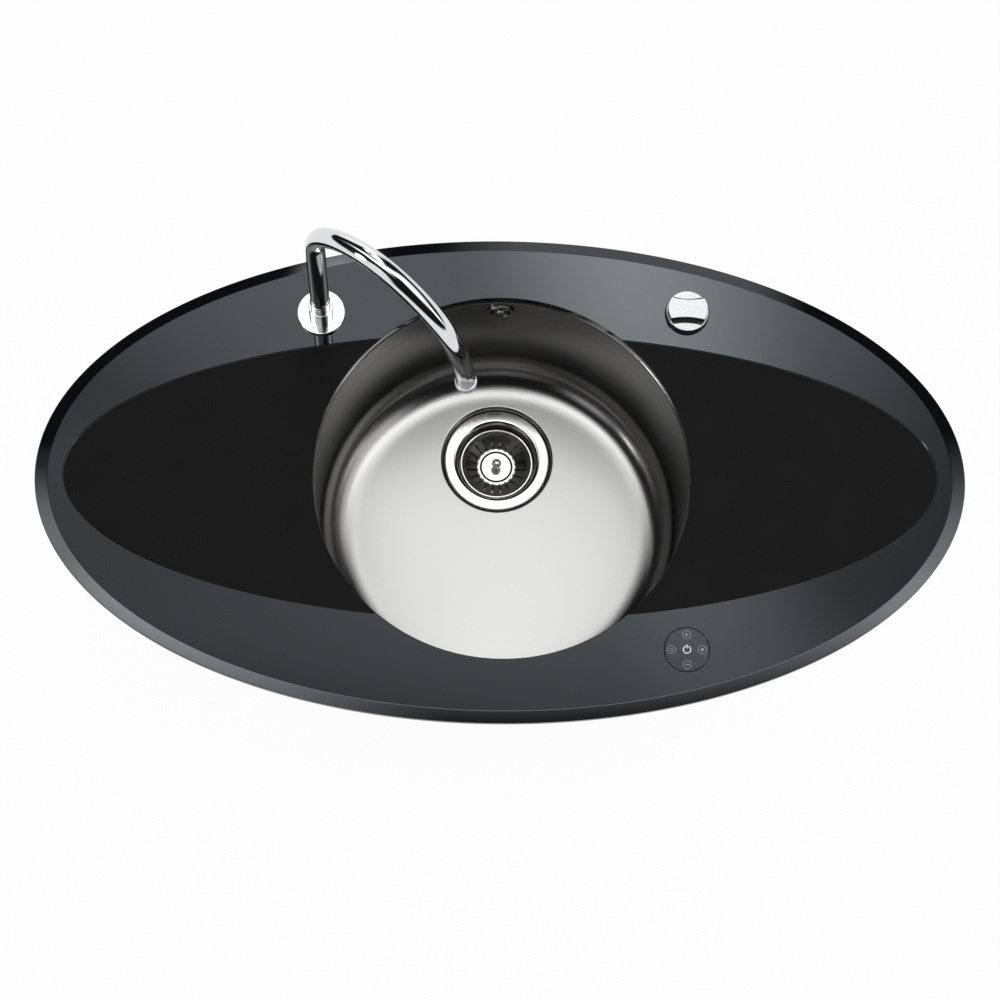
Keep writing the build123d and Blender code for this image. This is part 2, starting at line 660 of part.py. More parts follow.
def fixing_brackets():
    back = FIXING_BACK_X
    foot = GLASS_BOTTOM - FRAME_RIM_HEIGHT + FIXING_BRACKET_DROP
    half = FIXING_BRACKET_WIDTH / 2
    deep = back - FIXING_BRACKET_SHEET - FIXING_BRACKET_DEPTH
    bracket = block(back - FIXING_BRACKET_SHEET, back, -half, half, foot, FRAME_BOTTOM)
    bracket += block(deep, back, -half, half, foot, foot + FIXING_BRACKET_SHEET)
    hole = rod(FIXING_SCREW_R + THREAD_CLEARANCE, foot - CUT, foot + FIXING_BRACKET_SHEET + CUT)
    bracket -= Pos(FIXING_SCREW_X, 0, 0) * hole
    return group([place * bracket for place in fixing_places()])


def fixing_screws():
    foot = GLASS_BOTTOM - FRAME_RIM_HEIGHT + FIXING_BRACKET_DROP + FIXING_BRACKET_SHEET
    low = FIXING_ARM_TOP - FIXING_ARM_SHEET - FIXING_SCREW_TAIL
    screw = rod(FIXING_SCREW_R, low, foot)
    screw += rod(FIXING_HEAD_R, foot, foot + FIXING_HEAD_HEIGHT)
    screw = Pos(FIXING_SCREW_X, 0, 0) * screw
    return group([place * screw for place in fixing_places()])


def fixing_arms():
    half = FIXING_ARM_WIDTH / 2
    low = FIXING_ARM_TOP - FIXING_ARM_SHEET
    heel = FIXING_SCREW_X - FIXING_ARM_HEEL
    arm = block(heel, FIXING_ARM_REACH, -half, half, low, FIXING_ARM_TOP)
    tooth_x = FIXING_ARM_REACH - FIXING_ARM_SHEET
    arm += block(tooth_x, FIXING_ARM_REACH, -half, half, low, FIXING_ARM_TOP + FIXING_TOOTH)
    arm -= Pos(FIXING_SCREW_X, 0, 0) * rod(FIXING_SCREW_R + THREAD_CLEARANCE, low - CUT, FIXING_ARM_TOP + CUT)
    return group([place * arm for place in fixing_places()])


# Waste: flange with cup, seals, nut and body

def waste_flange():
    roll = FLANGE_BRIGHT_R - CUP_INNER_R
    seat_foot = CUP_SEAT - CUP_SEAT_SHEET
    section = [
        (FLANGE_R, FLANGE_UNDERSIDE),
        (FLANGE_R, FLANGE_TOP),
        (CUP_INNER_R, FLANGE_TOP),
        (CUP_INNER_R, CUP_SEAT),
        (CUP_SEAT_HOLE_R, CUP_SEAT),
        (CUP_SEAT_HOLE_R, seat_foot),
        (CUP_INNER_R, seat_foot),
        (CUP_INNER_R, CUP_BARREL_FOOT),
        (CUP_R, CUP_BARREL_FOOT),
        (CUP_R, FLANGE_UNDERSIDE),
    ]
    rounds = ((1, FLANGE_EDGE_ROUND), (2, roll), (9, roll - CUP_WALL))
    return at(0, WASTE_Y, turned(section, rounds))


def flange_seal():
    outer = FLANGE_R - FLANGE_SEAL_SETBACK
    return at(0, WASTE_Y, tube(outer, FLANGE_BRIGHT_R, RECESS_FLOOR, FLANGE_UNDERSIDE))


def waste_gasket():
    return at(0, WASTE_Y, tube(UNDER_GASKET_R, WASTE_HOLE_R, LOCKNUT_TOP, BOWL_RECESS_UNDERSIDE))


def waste_locknut():
    low = LOCKNUT_TOP - LOCKNUT_HEIGHT
    half = LOCKNUT_LUG_WIDTH / 2
    nut = rod(LOCKNUT_R, low, LOCKNUT_TOP)
    lug_top = LOCKNUT_TOP - LOCKNUT_LUG_DROP
    lug = block(LOCKNUT_R - LOCKNUT_LUG, LOCKNUT_R + LOCKNUT_LUG, -half, half, low, lug_top)
    for tooth in around(LOCKNUT_LUGS, lug):
        nut += tooth
    nut -= rod(CUP_R + THREAD_CLEARANCE, low - CUT, LOCKNUT_TOP + CUT)
    return at(0, WASTE_Y, nut)


def guide_spider():
    low = BODY_STEP - GUIDE_HUB_HEIGHT
    half = GUIDE_ARM_WIDTH / 2
    arm = block(0, BODY_CHAMBER_INNER_R + BODY_WALL / 2, -half, half, low, BODY_STEP)
    spider = rod(GUIDE_HUB_R, low, BODY_STEP)
    for blade in around(GUIDE_ARMS, arm, GUIDE_FIRST_ARM_DEG):
        spider += blade
    return spider - rod(LIFT_PIN_R + RUNNING_CLEARANCE, low - CUT, BODY_STEP + CUT)


def waste_body():
    collar_r = CUP_R + BODY_COLLAR_WALL
    chamber_r = BODY_CHAMBER_INNER_R + BODY_WALL
    outlet_inner = OUTLET_THREAD_R - OUTLET_WALL
    section = [
        (collar_r, BODY_TOP),
        (collar_r, BODY_STEP),
        (chamber_r, BODY_STEP - BODY_STEP_TAPER),
        (chamber_r, BODY_CONE_TOP),
        (OUTLET_THREAD_R, OUTLET_TOP),
        (OUTLET_THREAD_R, OUTLET_FOOT),
        (outlet_inner, OUTLET_FOOT),
        (outlet_inner, OUTLET_TOP),
        (BODY_CHAMBER_INNER_R, BODY_CONE_TOP),
        (BODY_CHAMBER_INNER_R, BODY_STEP),
        (CUP_R + THREAD_CLEARANCE, BODY_STEP),
        (CUP_R + THREAD_CLEARANCE, BODY_TOP),
    ]
    body = at(0, WASTE_Y, turned(section) + guide_spider())
    spigot_y = WASTE_Y + BODY_CHAMBER_INNER_R
    through = BODY_SPIGOT_LENGTH + CUT
    body += along_y(rod(SPIGOT_OUTER_R, 0, BODY_SPIGOT_LENGTH), spigot_y, SPIGOT_Z)
    body -= along_y(rod(SPIGOT_INNER_R, -2 * BODY_WALL, through), spigot_y, SPIGOT_Z)
    boss_end = BODY_WALL + CRANK_BOSS_LENGTH
    boss = rod(CRANK_BOSS_R, -BODY_WALL, boss_end)
    shaft_hole = rod(CRANK_SHAFT_R + RUNNING_CLEARANCE, -3 * BODY_WALL, boss_end + CUT)
    body += along_x(boss, BODY_CHAMBER_INNER_R, CRANK_Y, CRANK_Z)
    body -= along_x(shaft_hole, BODY_CHAMBER_INNER_R, CRANK_Y, CRANK_Z)
    return body


def cable_bracket():
    # A strap round the waste body's collar, and a plate that drops from it to the gland for the cable's sheath.
    t = CABLE_BRACKET_SHEET
    strap_r = CUP_R + BODY_COLLAR_WALL + SNUG
    strap_top = BODY_TOP - CABLE_STRAP_DROP
    bracket = at(0, WASTE_Y, tube(strap_r + t, strap_r, strap_top - CABLE_STRAP_HEIGHT, strap_top))
    near_x = sqrt(strap_r**2 - (GLAND_Y - t - WASTE_Y) ** 2)
    far_x = GLAND_X + CABLE_GLAND_R + CABLE_BRACKET_MARGIN
    foot = CABLE_Z - CABLE_GLAND_R - CABLE_BRACKET_MARGIN
    bracket += block(near_x, far_x, GLAND_Y - t, GLAND_Y, foot, strap_top)
    gland = Pos(GLAND_X, 0, 0) * along_y(rod(CABLE_GLAND_R, -t / 2, CABLE_GLAND_LENGTH), GLAND_Y, CABLE_Z)
    bore = rod(CABLE_GLAND_BORE_R, -t - CUT, CABLE_GLAND_LENGTH + CUT)
    return bracket + gland - Pos(GLAND_X, 0, 0) * along_y(bore, GLAND_Y, CABLE_Z)


# Strainer basket and its lift

def basket():
    rim_inner = BASKET_RIM_R - BASKET_RIM_WIDTH
    rim_low = BASKET_RIM_TOP - BASKET_RIM_WIDTH
    slope_z = BASKET_RIM_TOP - BASKET_SLOPE_DROP
    a = BASKET_RIM_ARRIS
    t = BASKET_SHEET
    section = [
        (0, BASKET_FLOOR_TOP),
        (BASKET_DISC_R, BASKET_FLOOR_TOP),
        (BASKET_SLOPE_R, slope_z),
        (rim_inner, BASKET_RIM_TOP - a),
        (rim_inner + a, BASKET_RIM_TOP),
        (BASKET_RIM_R - a, BASKET_RIM_TOP),
        (BASKET_RIM_R, BASKET_RIM_TOP - a),
        (BASKET_RIM_R, rim_low),
        (rim_inner + t, rim_low),
        (BASKET_SLOPE_R + t, slope_z - t),
        (BASKET_DISC_R + t / 2, BASKET_FLOOR_BOTTOM),
        (0, BASKET_FLOOR_BOTTOM),
    ]
    dish = turned(section)
    half = BASKET_SLOT_WIDTH / 2
    low = BASKET_FLOOR_BOTTOM - CUT
    slot = block(BASKET_SLOT_INNER_R, BASKET_SLOT_OUTER_R, -half, half, low, BASKET_RIM_TOP)
    for cut in around(BASKET_SLOTS, slot, 180.0 / BASKET_SLOTS):
        dish -= cut
    dish -= rod(BASKET_STEM_R + SNUG, low, BASKET_FLOOR_TOP + CUT)
    return at(0, WASTE_Y, dish)


def basket_disc():
    over = BASKET_DISC_TOP + CUT
    under = BASKET_FLOOR_TOP - CUT
    disc = rod(BASKET_DISC_R, BASKET_FLOOR_TOP, BASKET_DISC_TOP)
    disc -= tube(DISC_GROOVE_OUTER_R, DISC_GROOVE_INNER_R, BASKET_DISC_TOP - DISC_GROOVE_DEPTH, over)
    notch = Pos(BASKET_DISC_R, 0, 0) * rod(DISC_NOTCH_R, under, over)
    for cut in around(BASKET_SLOTS, notch, 180.0 / BASKET_SLOTS):
        disc -= cut
    return at(0, WASTE_Y, disc - rod(PULL_STEM_R + SNUG, under, over))


def basket_pull():
    ball_z = BASKET_DISC_TOP + PULL_BALL_HEIGHT
    pull = Pos(0, 0, ball_z) * Sphere(PULL_BALL_R)
    pull += rod(PULL_STEM_R, BASKET_FLOOR_TOP, ball_z)
    pull += rod(BASKET_STEM_R, BASKET_STEM_FOOT, BASKET_FLOOR_TOP)
    return at(0, WASTE_Y, pull)


def basket_seal():
    skirt = [
        (BASKET_STEM_R + SNUG, BASKET_FLOOR_BOTTOM),
        (BASKET_DISC_R, BASKET_FLOOR_BOTTOM),
        (BASKET_SEAL_R, BASKET_SEAL_BOTTOM + BASKET_SEAL_EDGE),
        (BASKET_SEAL_R, BASKET_SEAL_BOTTOM),
        (BASKET_STEM_R + SNUG, BASKET_SEAL_BOTTOM),
    ]
    return at(0, WASTE_Y, turned(skirt))


def basket_stem_nut():
    low = BASKET_SEAL_BOTTOM - BASKET_NUT_HEIGHT
    nut = hexagon(BASKET_NUT_ACROSS, low, BASKET_SEAL_BOTTOM)
    return at(0, WASTE_Y, nut - rod(BASKET_STEM_R + SNUG, low - CUT, BASKET_SEAL_BOTTOM + CUT))


def lift_pin():
    return at(0, WASTE_Y, rod(LIFT_PIN_R, PIN_FOOT, PIN_TOP))


def lift_crank():
    # Shaft along X with a ball-ended finger that lifts the pin, drawn at its lowest position.
    tilt = radians(CRANK_HALF_TURN_DEG)
    outer_end = CRANK_ARM_X + CRANK_ARM_SHEET + CRANK_SHAFT_PROUD
    crank = along_x(rod(CRANK_SHAFT_R, -CRANK_SHAFT_INNER_END, outer_end), 0, CRANK_Y, CRANK_Z)
    finger = Rot(-90 - CRANK_HALF_TURN_DEG, 0, 0) * rod(CRANK_FINGER_R, 0, CRANK_FINGER_LENGTH)
    crank += Pos(0, CRANK_Y, CRANK_Z) * finger
    tip_y = CRANK_Y + CRANK_FINGER_LENGTH * cos(tilt)
    tip_z = CRANK_Z - CRANK_FINGER_LENGTH * sin(tilt)
    return crank + Pos(0, tip_y, tip_z) * Sphere(CRANK_BALL_R)


def crank_arm():
    # Flat arm outside the body, hanging from the shaft. The cable pulls its lower end to the rear.
    swing = radians(CRANK_HALF_TURN_DEG)
    tip = Pos(CRANK_ARM_LENGTH * cos(swing), -CRANK_ARM_LENGTH * sin(swing))
    outline = make_hull(Circle(CRANK_ARM_R).edges() + (tip * Circle(CRANK_TIP_R)).edges())
    outline -= Circle(CRANK_SHAFT_R + SNUG)
    outline -= tip * Circle(CRANK_PIN_HOLE_R)
    return along_x(extrude(outline, amount=CRANK_ARM_SHEET), CRANK_ARM_X, CRANK_Y, CRANK_Z)


def crank_clip():
    # Spring clip on the shaft's end that keeps the arm on.
    ring = tube(CRANK_CLIP_R, CRANK_SHAFT_R + SNUG, 0, CRANK_CLIP_SHEET)
    return along_x(ring, CRANK_ARM_X + CRANK_ARM_SHEET, CRANK_Y, CRANK_Z)


# Overflow

def overflow_rosette():
    # Drawn about Z with its face upward, then turned to face the bowl and trimmed to the curve of the wall.
    front = ROSETTE_DEPTH
    bar_front = front - ROSETTE_DISH
    section = [
        (ROSETTE_OPENING_R, -ROSETTE_TAIL),
        (ROSETTE_OPENING_R, bar_front),
        (ROSETTE_OPENING_R + ROSETTE_INNER_CHAMFER, front),
        (ROSETTE_R - ROSETTE_EDGE_CHAMFER, front),
        (ROSETTE_R, bar_front),
        (ROSETTE_R, -ROSETTE_TAIL),
    ]
    rosette = turned(section, ((3, ROSETTE_EDGE_ROUND),))
    half = ROSETTE_BAR / 2
    reach = (ROSETTE_OPENING_R + ROSETTE_R) / 2
    bar = block(-reach, reach, -half, half, 0, bar_front)
    rosette += Rot(0, 0, 45) * bar
    rosette += Rot(0, 0, -45) * bar
    rosette += rod(ROSETTE_BOSS_R, 0, bar_front)
    rosette -= rod(OVERFLOW_SCREW_R + SNUG, -CUT, front + CUT)
    seated = Pos(0, OVERFLOW_WALL_R, OVERFLOW_Z) * Rot(90, 0, 0) * rosette
    wall_r = OVERFLOW_WALL_R - WALL_SLOPE * ROSETTE_R - SNUG
    return seated & rod(wall_r, OVERFLOW_Z - 2 * ROSETTE_R, OVERFLOW_Z + 2 * ROSETTE_R)


def overflow_screw():
    head_y = OVERFLOW_WALL_R - ROSETTE_DEPTH + ROSETTE_DISH
    head_r = OVERFLOW_SCREW_HEAD_R
    face = -OVERFLOW_SCREW_HEAD
    half = SCREW_SLOT_WIDTH / 2
    screw = rod(head_r, face, 0) + rod(OVERFLOW_SCREW_R, 0, OVERFLOW_SCREW_LENGTH)
    screw -= block(-head_r - CUT, head_r + CUT, -half, half, face - CUT, face + SCREW_SLOT_DEPTH)
    return along_y(screw, head_y, OVERFLOW_Z)


def overflow_seal():
    ring = along_y(tube(ELBOW_FLANGE_R, OVERFLOW_HOLE_R, -2 * OVERFLOW_SEAL, 0), ELBOW_FACE_Y, OVERFLOW_Z)
    bowl_outer = OVERFLOW_WALL_R + BOWL_SHEET + REST_GAP
    return ring - rod(bowl_outer, OVERFLOW_Z - 2 * ELBOW_FLANGE_R, OVERFLOW_Z + 2 * ELBOW_FLANGE_R)


def overflow_elbow():
    inner_r = ELBOW_R - ELBOW_WALL
    inner_end = ELBOW_LENGTH - ELBOW_WALL
    foot = OVERFLOW_Z - ELBOW_SPIGOT_LENGTH
    tube_part = rod(ELBOW_FLANGE_R, 0, ELBOW_FLANGE) + rod(ELBOW_R, 0, ELBOW_LENGTH)
    elbow = along_y(tube_part, ELBOW_FACE_Y, OVERFLOW_Z)
    elbow += Pos(0, PIPE_Y, 0) * rod(SPIGOT_OUTER_R, foot, OVERFLOW_Z)
    elbow -= along_y(rod(inner_r, -CUT, inner_end), ELBOW_FACE_Y, OVERFLOW_Z)
    elbow -= Pos(0, PIPE_Y, 0) * rod(SPIGOT_INNER_R, foot - CUT, OVERFLOW_Z)
    boss_y = ELBOW_FACE_Y + ELBOW_BOSS_SETBACK
    boss = rod(ROSETTE_BOSS_R, 0, inner_end - ELBOW_BOSS_SETBACK + ELBOW_WALL / 2)
    boss -= rod(OVERFLOW_SCREW_R + SNUG, -CUT, OVERFLOW_SCREW_LENGTH - ELBOW_BOSS_SETBACK)
    return elbow + along_y(boss, boss_y, OVERFLOW_Z)


def overflow_pipe():
    top = OVERFLOW_Z - ELBOW_SPIGOT_LENGTH + PIPE_INSERT
    plane = Plane(origin=(0, PIPE_Y, 0), x_dir=(0, -1, 0), z_dir=(-1, 0, 0))
    down = Line((0, top), (0, SPIGOT_Z + PIPE_BEND_R))
    bend = JernArc(down @ 1, down % 1, PIPE_BEND_R, 90)
    across = Line(bend @ 1, (PIPE_Y - SPIGOT_END_Y + PIPE_INSERT, SPIGOT_Z))
    return pipe_along(plane * Wire([down, bend, across]), PIPE_R, PIPE_R - PIPE_WALL)


def union_nuts():
    inner_r = SPIGOT_OUTER_R + THREAD_CLEARANCE
    outer_r = inner_r + UNION_NUT_WALL
    half = UNION_NUT_RIB_WIDTH / 2
    nut = tube(outer_r, inner_r, 0, UNION_NUT_LENGTH)
    nut += tube(outer_r, PIPE_R + THREAD_CLEARANCE, -UNION_NUT_CAP, 0)
    rib_top = UNION_NUT_LENGTH - UNION_NUT_CAP
    rib = block(outer_r - UNION_NUT_RIB, outer_r + UNION_NUT_RIB, -half, half, 0, rib_top)
    for grip in around(UNION_NUT_RIBS, rib, 180.0 / UNION_NUT_RIBS):
        nut += grip
    upper = Pos(0, PIPE_Y, OVERFLOW_Z - ELBOW_SPIGOT_LENGTH - REST_GAP) * nut
    lower = Pos(0, SPIGOT_END_Y + REST_GAP, SPIGOT_Z) * Rot(90, 0, 0) * nut
    return group([upper, lower])


# Turn knob and its drive

def knob_outline(end_r, waist, shoulder):
    # The grip bar seen from above: round ends, and a front and a rear edge that curve in to the waist.
    half_chord = sqrt(end_r**2 - shoulder**2)
    rise = shoulder - waist
    curve_r = (half_chord**2 + rise**2) / (2 * rise)
    outline = Circle(end_r)
    outline -= Pos(0, waist + curve_r) * Circle(curve_r)
    outline -= Pos(0, -waist - curve_r) * Circle(curve_r)
    return outline


def knob_grip():
    disc_top = GLASS_TOP + KNOB_DISC_TOP
    section = [(0, KNOB_FOOT_Z), (KNOB_DISC_R, KNOB_FOOT_Z), (KNOB_DISC_R, disc_top), (0, disc_top)]
    grip = turned(section, ((2, KNOB_EDGE_ROUND),))
    wide = knob_outline(KNOB_BAR_FOOT_R, KNOB_BAR_WAIST + KNOB_BAR_FLARE, KNOB_BAR_SHOULDER + KNOB_BAR_FLARE)
    narrow = knob_outline(KNOB_BAR_R, KNOB_BAR_WAIST, KNOB_BAR_SHOULDER)
    grip += loft([Pos(0, 0, disc_top) * wide, Pos(0, 0, KNOB_TOP_Z) * narrow], ruled=True)
    grip -= rod(KNOB_SHAFT_R + SNUG, KNOB_FOOT_Z - CUT, KNOB_FOOT_Z + KNOB_SOCKET_DEPTH)
    grip -= Pos(0, 0, KNOB_SCREW_Z) * Rot(90, 0, 0) * rod(KNOB_SCREW_R + SNUG, 0, KNOB_DISC_R + CUT)
    return at(KNOB_X, KNOB_Y, Rot(0, 0, KNOB_REST_TURN_DEG) * grip)


def knob_grub_screw():
    screw = rod(KNOB_SCREW_R, KNOB_SHAFT_R + SNUG, KNOB_SHAFT_R + KNOB_SCREW_LENGTH)
    screw = Pos(0, 0, KNOB_SCREW_Z) * Rot(90, 0, 0) * screw
    return at(KNOB_X, KNOB_Y, Rot(0, 0, KNOB_REST_TURN_DEG) * screw)


def knob_skirt():
    top = GLASS_TOP + KNOB_SKIRT_HEIGHT
    inner = BUSH_FLANGE_R + THREAD_CLEARANCE
    section = [(inner, GLASS_TOP), (KNOB_SKIRT_R, GLASS_TOP), (KNOB_SKIRT_R, top), (inner, top)]
    return at(KNOB_X, KNOB_Y, turned(section, ((2, KNOB_SKIRT_ROUND),)))


def control_bush():
    top = GLASS_TOP + BUSH_FLANGE
    bush = rod(BUSH_FLANGE_R, GLASS_TOP, top) + rod(BUSH_R, BUSH_FOOT, GLASS_TOP)
    return at(KNOB_X, KNOB_Y, bush - rod(KNOB_SHAFT_R + RUNNING_CLEARANCE, BUSH_FOOT - CUT, top + CUT))


def control_washer():
    washer = tube(CONTROL_NUT_R, BUSH_R + REST_GAP, FRAME_BOTTOM - CONTROL_WASHER, FRAME_BOTTOM)
    return at(KNOB_X, KNOB_Y, washer)


def control_locknut():
    top = FRAME_BOTTOM - CONTROL_WASHER
    low = top - CONTROL_NUT_HEIGHT
    half = CONTROL_NUT_NOTCH_WIDTH / 2
    nut = tube(CONTROL_NUT_R, BUSH_R + THREAD_CLEARANCE, low, top)
    notch = block(CONTROL_NUT_R - CONTROL_NUT_NOTCH, CONTROL_NUT_R + CUT, -half, half, low - CUT, top + CUT)
    for cut in around(CONTROL_NUT_NOTCHES, notch):
        nut -= cut
    return at(KNOB_X, KNOB_Y, nut)


def control_shaft():
    low = COVER_FOOT + FOOT_BEARING_FLOOR + REST_GAP
    return at(KNOB_X, KNOB_Y, rod(KNOB_SHAFT_R, low, KNOB_FOOT_Z + KNOB_SOCKET_DEPTH - REST_GAP))


def cable_drum():
    low = DRUM_TOP - DRUM_HEIGHT
    inner = KNOB_SHAFT_R + SNUG
    section = [
        (inner, low),
        (DRUM_R, low),
        (DRUM_R, DRUM_MIDDLE - DRUM_GROOVE),
        (DRUM_R - DRUM_GROOVE, DRUM_MIDDLE),
        (DRUM_R, DRUM_MIDDLE + DRUM_GROOVE),
        (DRUM_R, DRUM_TOP),
        (inner, DRUM_TOP),
    ]
    return at(KNOB_X, KNOB_Y, turned(section))


def drum_screw_places():
    reach = DRUM_HOUSING_R - DRUM_HOUSING_WALL / 2 - DRUM_SCREW_BOSS_R
    step = 360.0 / DRUM_COVER_SCREWS
    first = CABLE_DIRECTION_DEG + step / 2
    return [Rot(0, 0, first + step * i) * Pos(reach, 0, 0) for i in range(DRUM_COVER_SCREWS)]


def drum_housing():
    wall = DRUM_HOUSING_WALL
    ceiling = BUSH_FOOT - wall
    lap_top = BUSH_FOOT + DRUM_HOUSING_LAP
    lap_inner = BUSH_R + THREAD_CLEARANCE
    housing = tube(DRUM_HOUSING_R, DRUM_HOUSING_R - wall, HOUSING_FLOOR, BUSH_FOOT)
    housing += tube(DRUM_HOUSING_R, KNOB_SHAFT_R + REST_GAP, ceiling, BUSH_FOOT)
    housing += tube(lap_inner + wall, lap_inner, BUSH_FOOT, lap_top)
    for place in drum_screw_places():
        housing += place * rod(DRUM_SCREW_BOSS_R, HOUSING_FLOOR, ceiling)
        housing -= place * rod(DRUM_SCREW_R + SNUG, HOUSING_FLOOR - CUT, HOUSING_FLOOR + DRUM_SCREW_LENGTH)
    # The gland is tangent to the drum's groove, where the inner wire leaves it.
    side = DRUM_R - DRUM_GROOVE
    gland = Rot(0, 0, CABLE_DIRECTION_DEG) * Pos(0, side, DRUM_MIDDLE) * Rot(0, 90, 0)
    start = sqrt((DRUM_HOUSING_R - wall) ** 2 - (side - CABLE_GLAND_R) ** 2)
    end = DRUM_HOUSING_R + CABLE_GLAND_LENGTH
    tip = gland * rod(CABLE_GLAND_R, 0, end)
    housing += tip - rod(DRUM_HOUSING_R - wall, HOUSING_FLOOR, BUSH_FOOT)
    housing -= gland * rod(CABLE_GLAND_BORE_R, start - 2 * wall, end + CUT)
    return at(KNOB_X, KNOB_Y, housing)


def drum_cover():
    cover = rod(DRUM_HOUSING_R, COVER_FOOT, HOUSING_FLOOR)
    cover += rod(KNOB_SHAFT_R + FOOT_BEARING_WALL, HOUSING_FLOOR, HOUSING_FLOOR + FOOT_BEARING_HEIGHT)
    pocket_top = HOUSING_FLOOR + FOOT_BEARING_HEIGHT + CUT
    cover -= rod(KNOB_SHAFT_R + RUNNING_CLEARANCE, COVER_FOOT + FOOT_BEARING_FLOOR, pocket_top)
    for place in drum_screw_places():
        cover -= place * rod(DRUM_SCREW_R + THREAD_CLEARANCE, COVER_FOOT - CUT, HOUSING_FLOOR + CUT)
    return at(KNOB_X, KNOB_Y, cover)


def drum_screws():
    screw = rod(DRUM_SCREW_R, COVER_FOOT, COVER_FOOT + DRUM_SCREW_LENGTH)
    screw += rod(DRUM_SCREW_HEAD_R, COVER_FOOT - DRUM_SCREW_HEAD, COVER_FOOT)
    half = SCREW_SLOT_WIDTH / 2
    face = COVER_FOOT - DRUM_SCREW_HEAD
    screw -= block(-DRUM_SCREW_HEAD_R, DRUM_SCREW_HEAD_R, -half, half, face - CUT, face + SCREW_SLOT_DEPTH)
    return at(KNOB_X, KNOB_Y, group([place * screw for place in drum_screw_places()]))


# Spout and its base

def tap_flange():
    inner = TAP_SHANK_R + THREAD_CLEARANCE
    groove_r = TAP_SEAL_R + THREAD_CLEARANCE
    groove = GLASS_TOP + TAP_SEAL_THICKNESS
    section = [
        (inner, groove),
        (groove_r, groove),
        (groove_r, GLASS_TOP),
        (TAP_FLANGE_R, GLASS_TOP),
        (TAP_FLANGE_R, TAP_SHOULDER - TAP_FLANGE_ARRIS),
        (TAP_FLANGE_R - TAP_FLANGE_ARRIS, TAP_SHOULDER),
        (inner, TAP_SHOULDER),
    ]
    return at(TAP_X, TAP_Y, turned(section))


def tap_seal():
    return at(TAP_X, TAP_Y, tube(TAP_SEAL_R, TAP_HOLE_R, GLASS_TOP, GLASS_TOP + TAP_SEAL_THICKNESS))


def tap_body():
    bore = SPIGOT_R + RUNNING_CLEARANCE
    pocket = TAP_TOP - SPIGOT_DEPTH - POCKET_SLACK
    section = [
        (TAP_SHANK_BORE_R, TAP_FOOT),
        (TAP_SHANK_R, TAP_FOOT),
        (TAP_SHANK_R, TAP_SHOULDER),
        (TAP_BODY_R, TAP_SHOULDER),
        (TAP_BODY_R, TAP_TOP),
        (bore, TAP_TOP),
        (bore, pocket),
        (TAP_SHANK_BORE_R, pocket),
    ]
    body = turned(section, ((4, TAP_BODY_ROUND),))
    body -= Pos(0, 0, TAP_GRUB_Z) * Rot(-90, 0, 0) * rod(GRUB_R + SNUG, 0, TAP_BODY_R + CUT)
    return at(TAP_X, TAP_Y, body)


def tap_grub_screw():
    # Sits in the swivel's groove without touching its floor, so that the spout turns but can't lift out.
    tip = SPIGOT_R - O_RING_SECTION_R + REST_GAP
    screw = Pos(0, 0, TAP_GRUB_Z) * Rot(-90, 0, 0) * rod(GRUB_R, tip, TAP_BODY_R - GRUB_SUNK)
    return at(TAP_X, TAP_Y, screw)


def o_ring_heights():
    upper, lower = O_RING_FROM_ENDS
    return [TAP_TOP - upper, TAP_TOP - SPIGOT_DEPTH + lower]


def swivel_collar():
    low = TAP_TOP + REST_GAP
    foot = TAP_TOP - SPIGOT_DEPTH
    plug_r = SPOUT_BORE_R - SNUG
    g = COLLAR_GROOVE
    section = [(SWIVEL_BORE_R, foot), (SPIGOT_R, foot), (SPIGOT_R, low), (COLLAR_R, low)]
    for up in COLLAR_GROOVES_UP:
        section += [(COLLAR_R, low + up), (COLLAR_R - g, low + up + g), (COLLAR_R, low + up + 2 * g)]
    section += [
        (COLLAR_R, TAP_NECK_Z - COLLAR_TAPER),
        (SPOUT_R, TAP_NECK_Z),
        (plug_r, TAP_NECK_Z),
        (plug_r, TAP_NECK_Z + SWIVEL_PLUG),
        (SWIVEL_BORE_R, TAP_NECK_Z + SWIVEL_PLUG),
    ]
    collar = turned(section)
    for z in o_ring_heights():
        groove_floor = SPIGOT_R - 2 * O_RING_SECTION_R
        collar -= tube(SPIGOT_R + CUT, groove_floor, z - O_RING_GROOVE_HALF, z + O_RING_GROOVE_HALF)
    half = GRUB_R + GRUB_GROOVE_SLACK
    collar -= tube(SPIGOT_R + CUT, SPIGOT_R - O_RING_SECTION_R, TAP_GRUB_Z - half, TAP_GRUB_Z + half)
    return at(TAP_X, TAP_Y, collar)


def spout_o_rings():
    ring = Torus(SPIGOT_R - O_RING_SECTION_R, O_RING_SECTION_R - SNUG / 2)
    return at(TAP_X, TAP_Y, group([Pos(0, 0, z) * ring for z in o_ring_heights()]))


def spout_path():
    # Straight riser, then three tangent bends that open out towards the outlet, in one upright plane.
    a = radians(SPOUT_AZIMUTH_DEG)
    plane = Plane(origin=(TAP_X, TAP_Y, 0), x_dir=(cos(a), sin(a), 0), z_dir=(sin(a), -cos(a), 0))
    pieces = [Line((0, TAP_NECK_Z), (0, GLASS_TOP + SPOUT_RISER_TOP))]
    for radius, turn in SPOUT_BENDS:
        last = pieces[-1]
        pieces.append(JernArc(last @ 1, last % 1, radius, -turn))
    last = pieces[-1]
    pieces.append(Line(last @ 1, last @ 1 + (last % 1) * SPOUT_END_RUN))
    return plane * Wire(pieces)


def spout():
    return pipe_along(spout_path(), SPOUT_R, SPOUT_BORE_R)


def outlet_plane():
    path = spout_path()
    return Plane(origin=path @ 1, z_dir=path % 1)


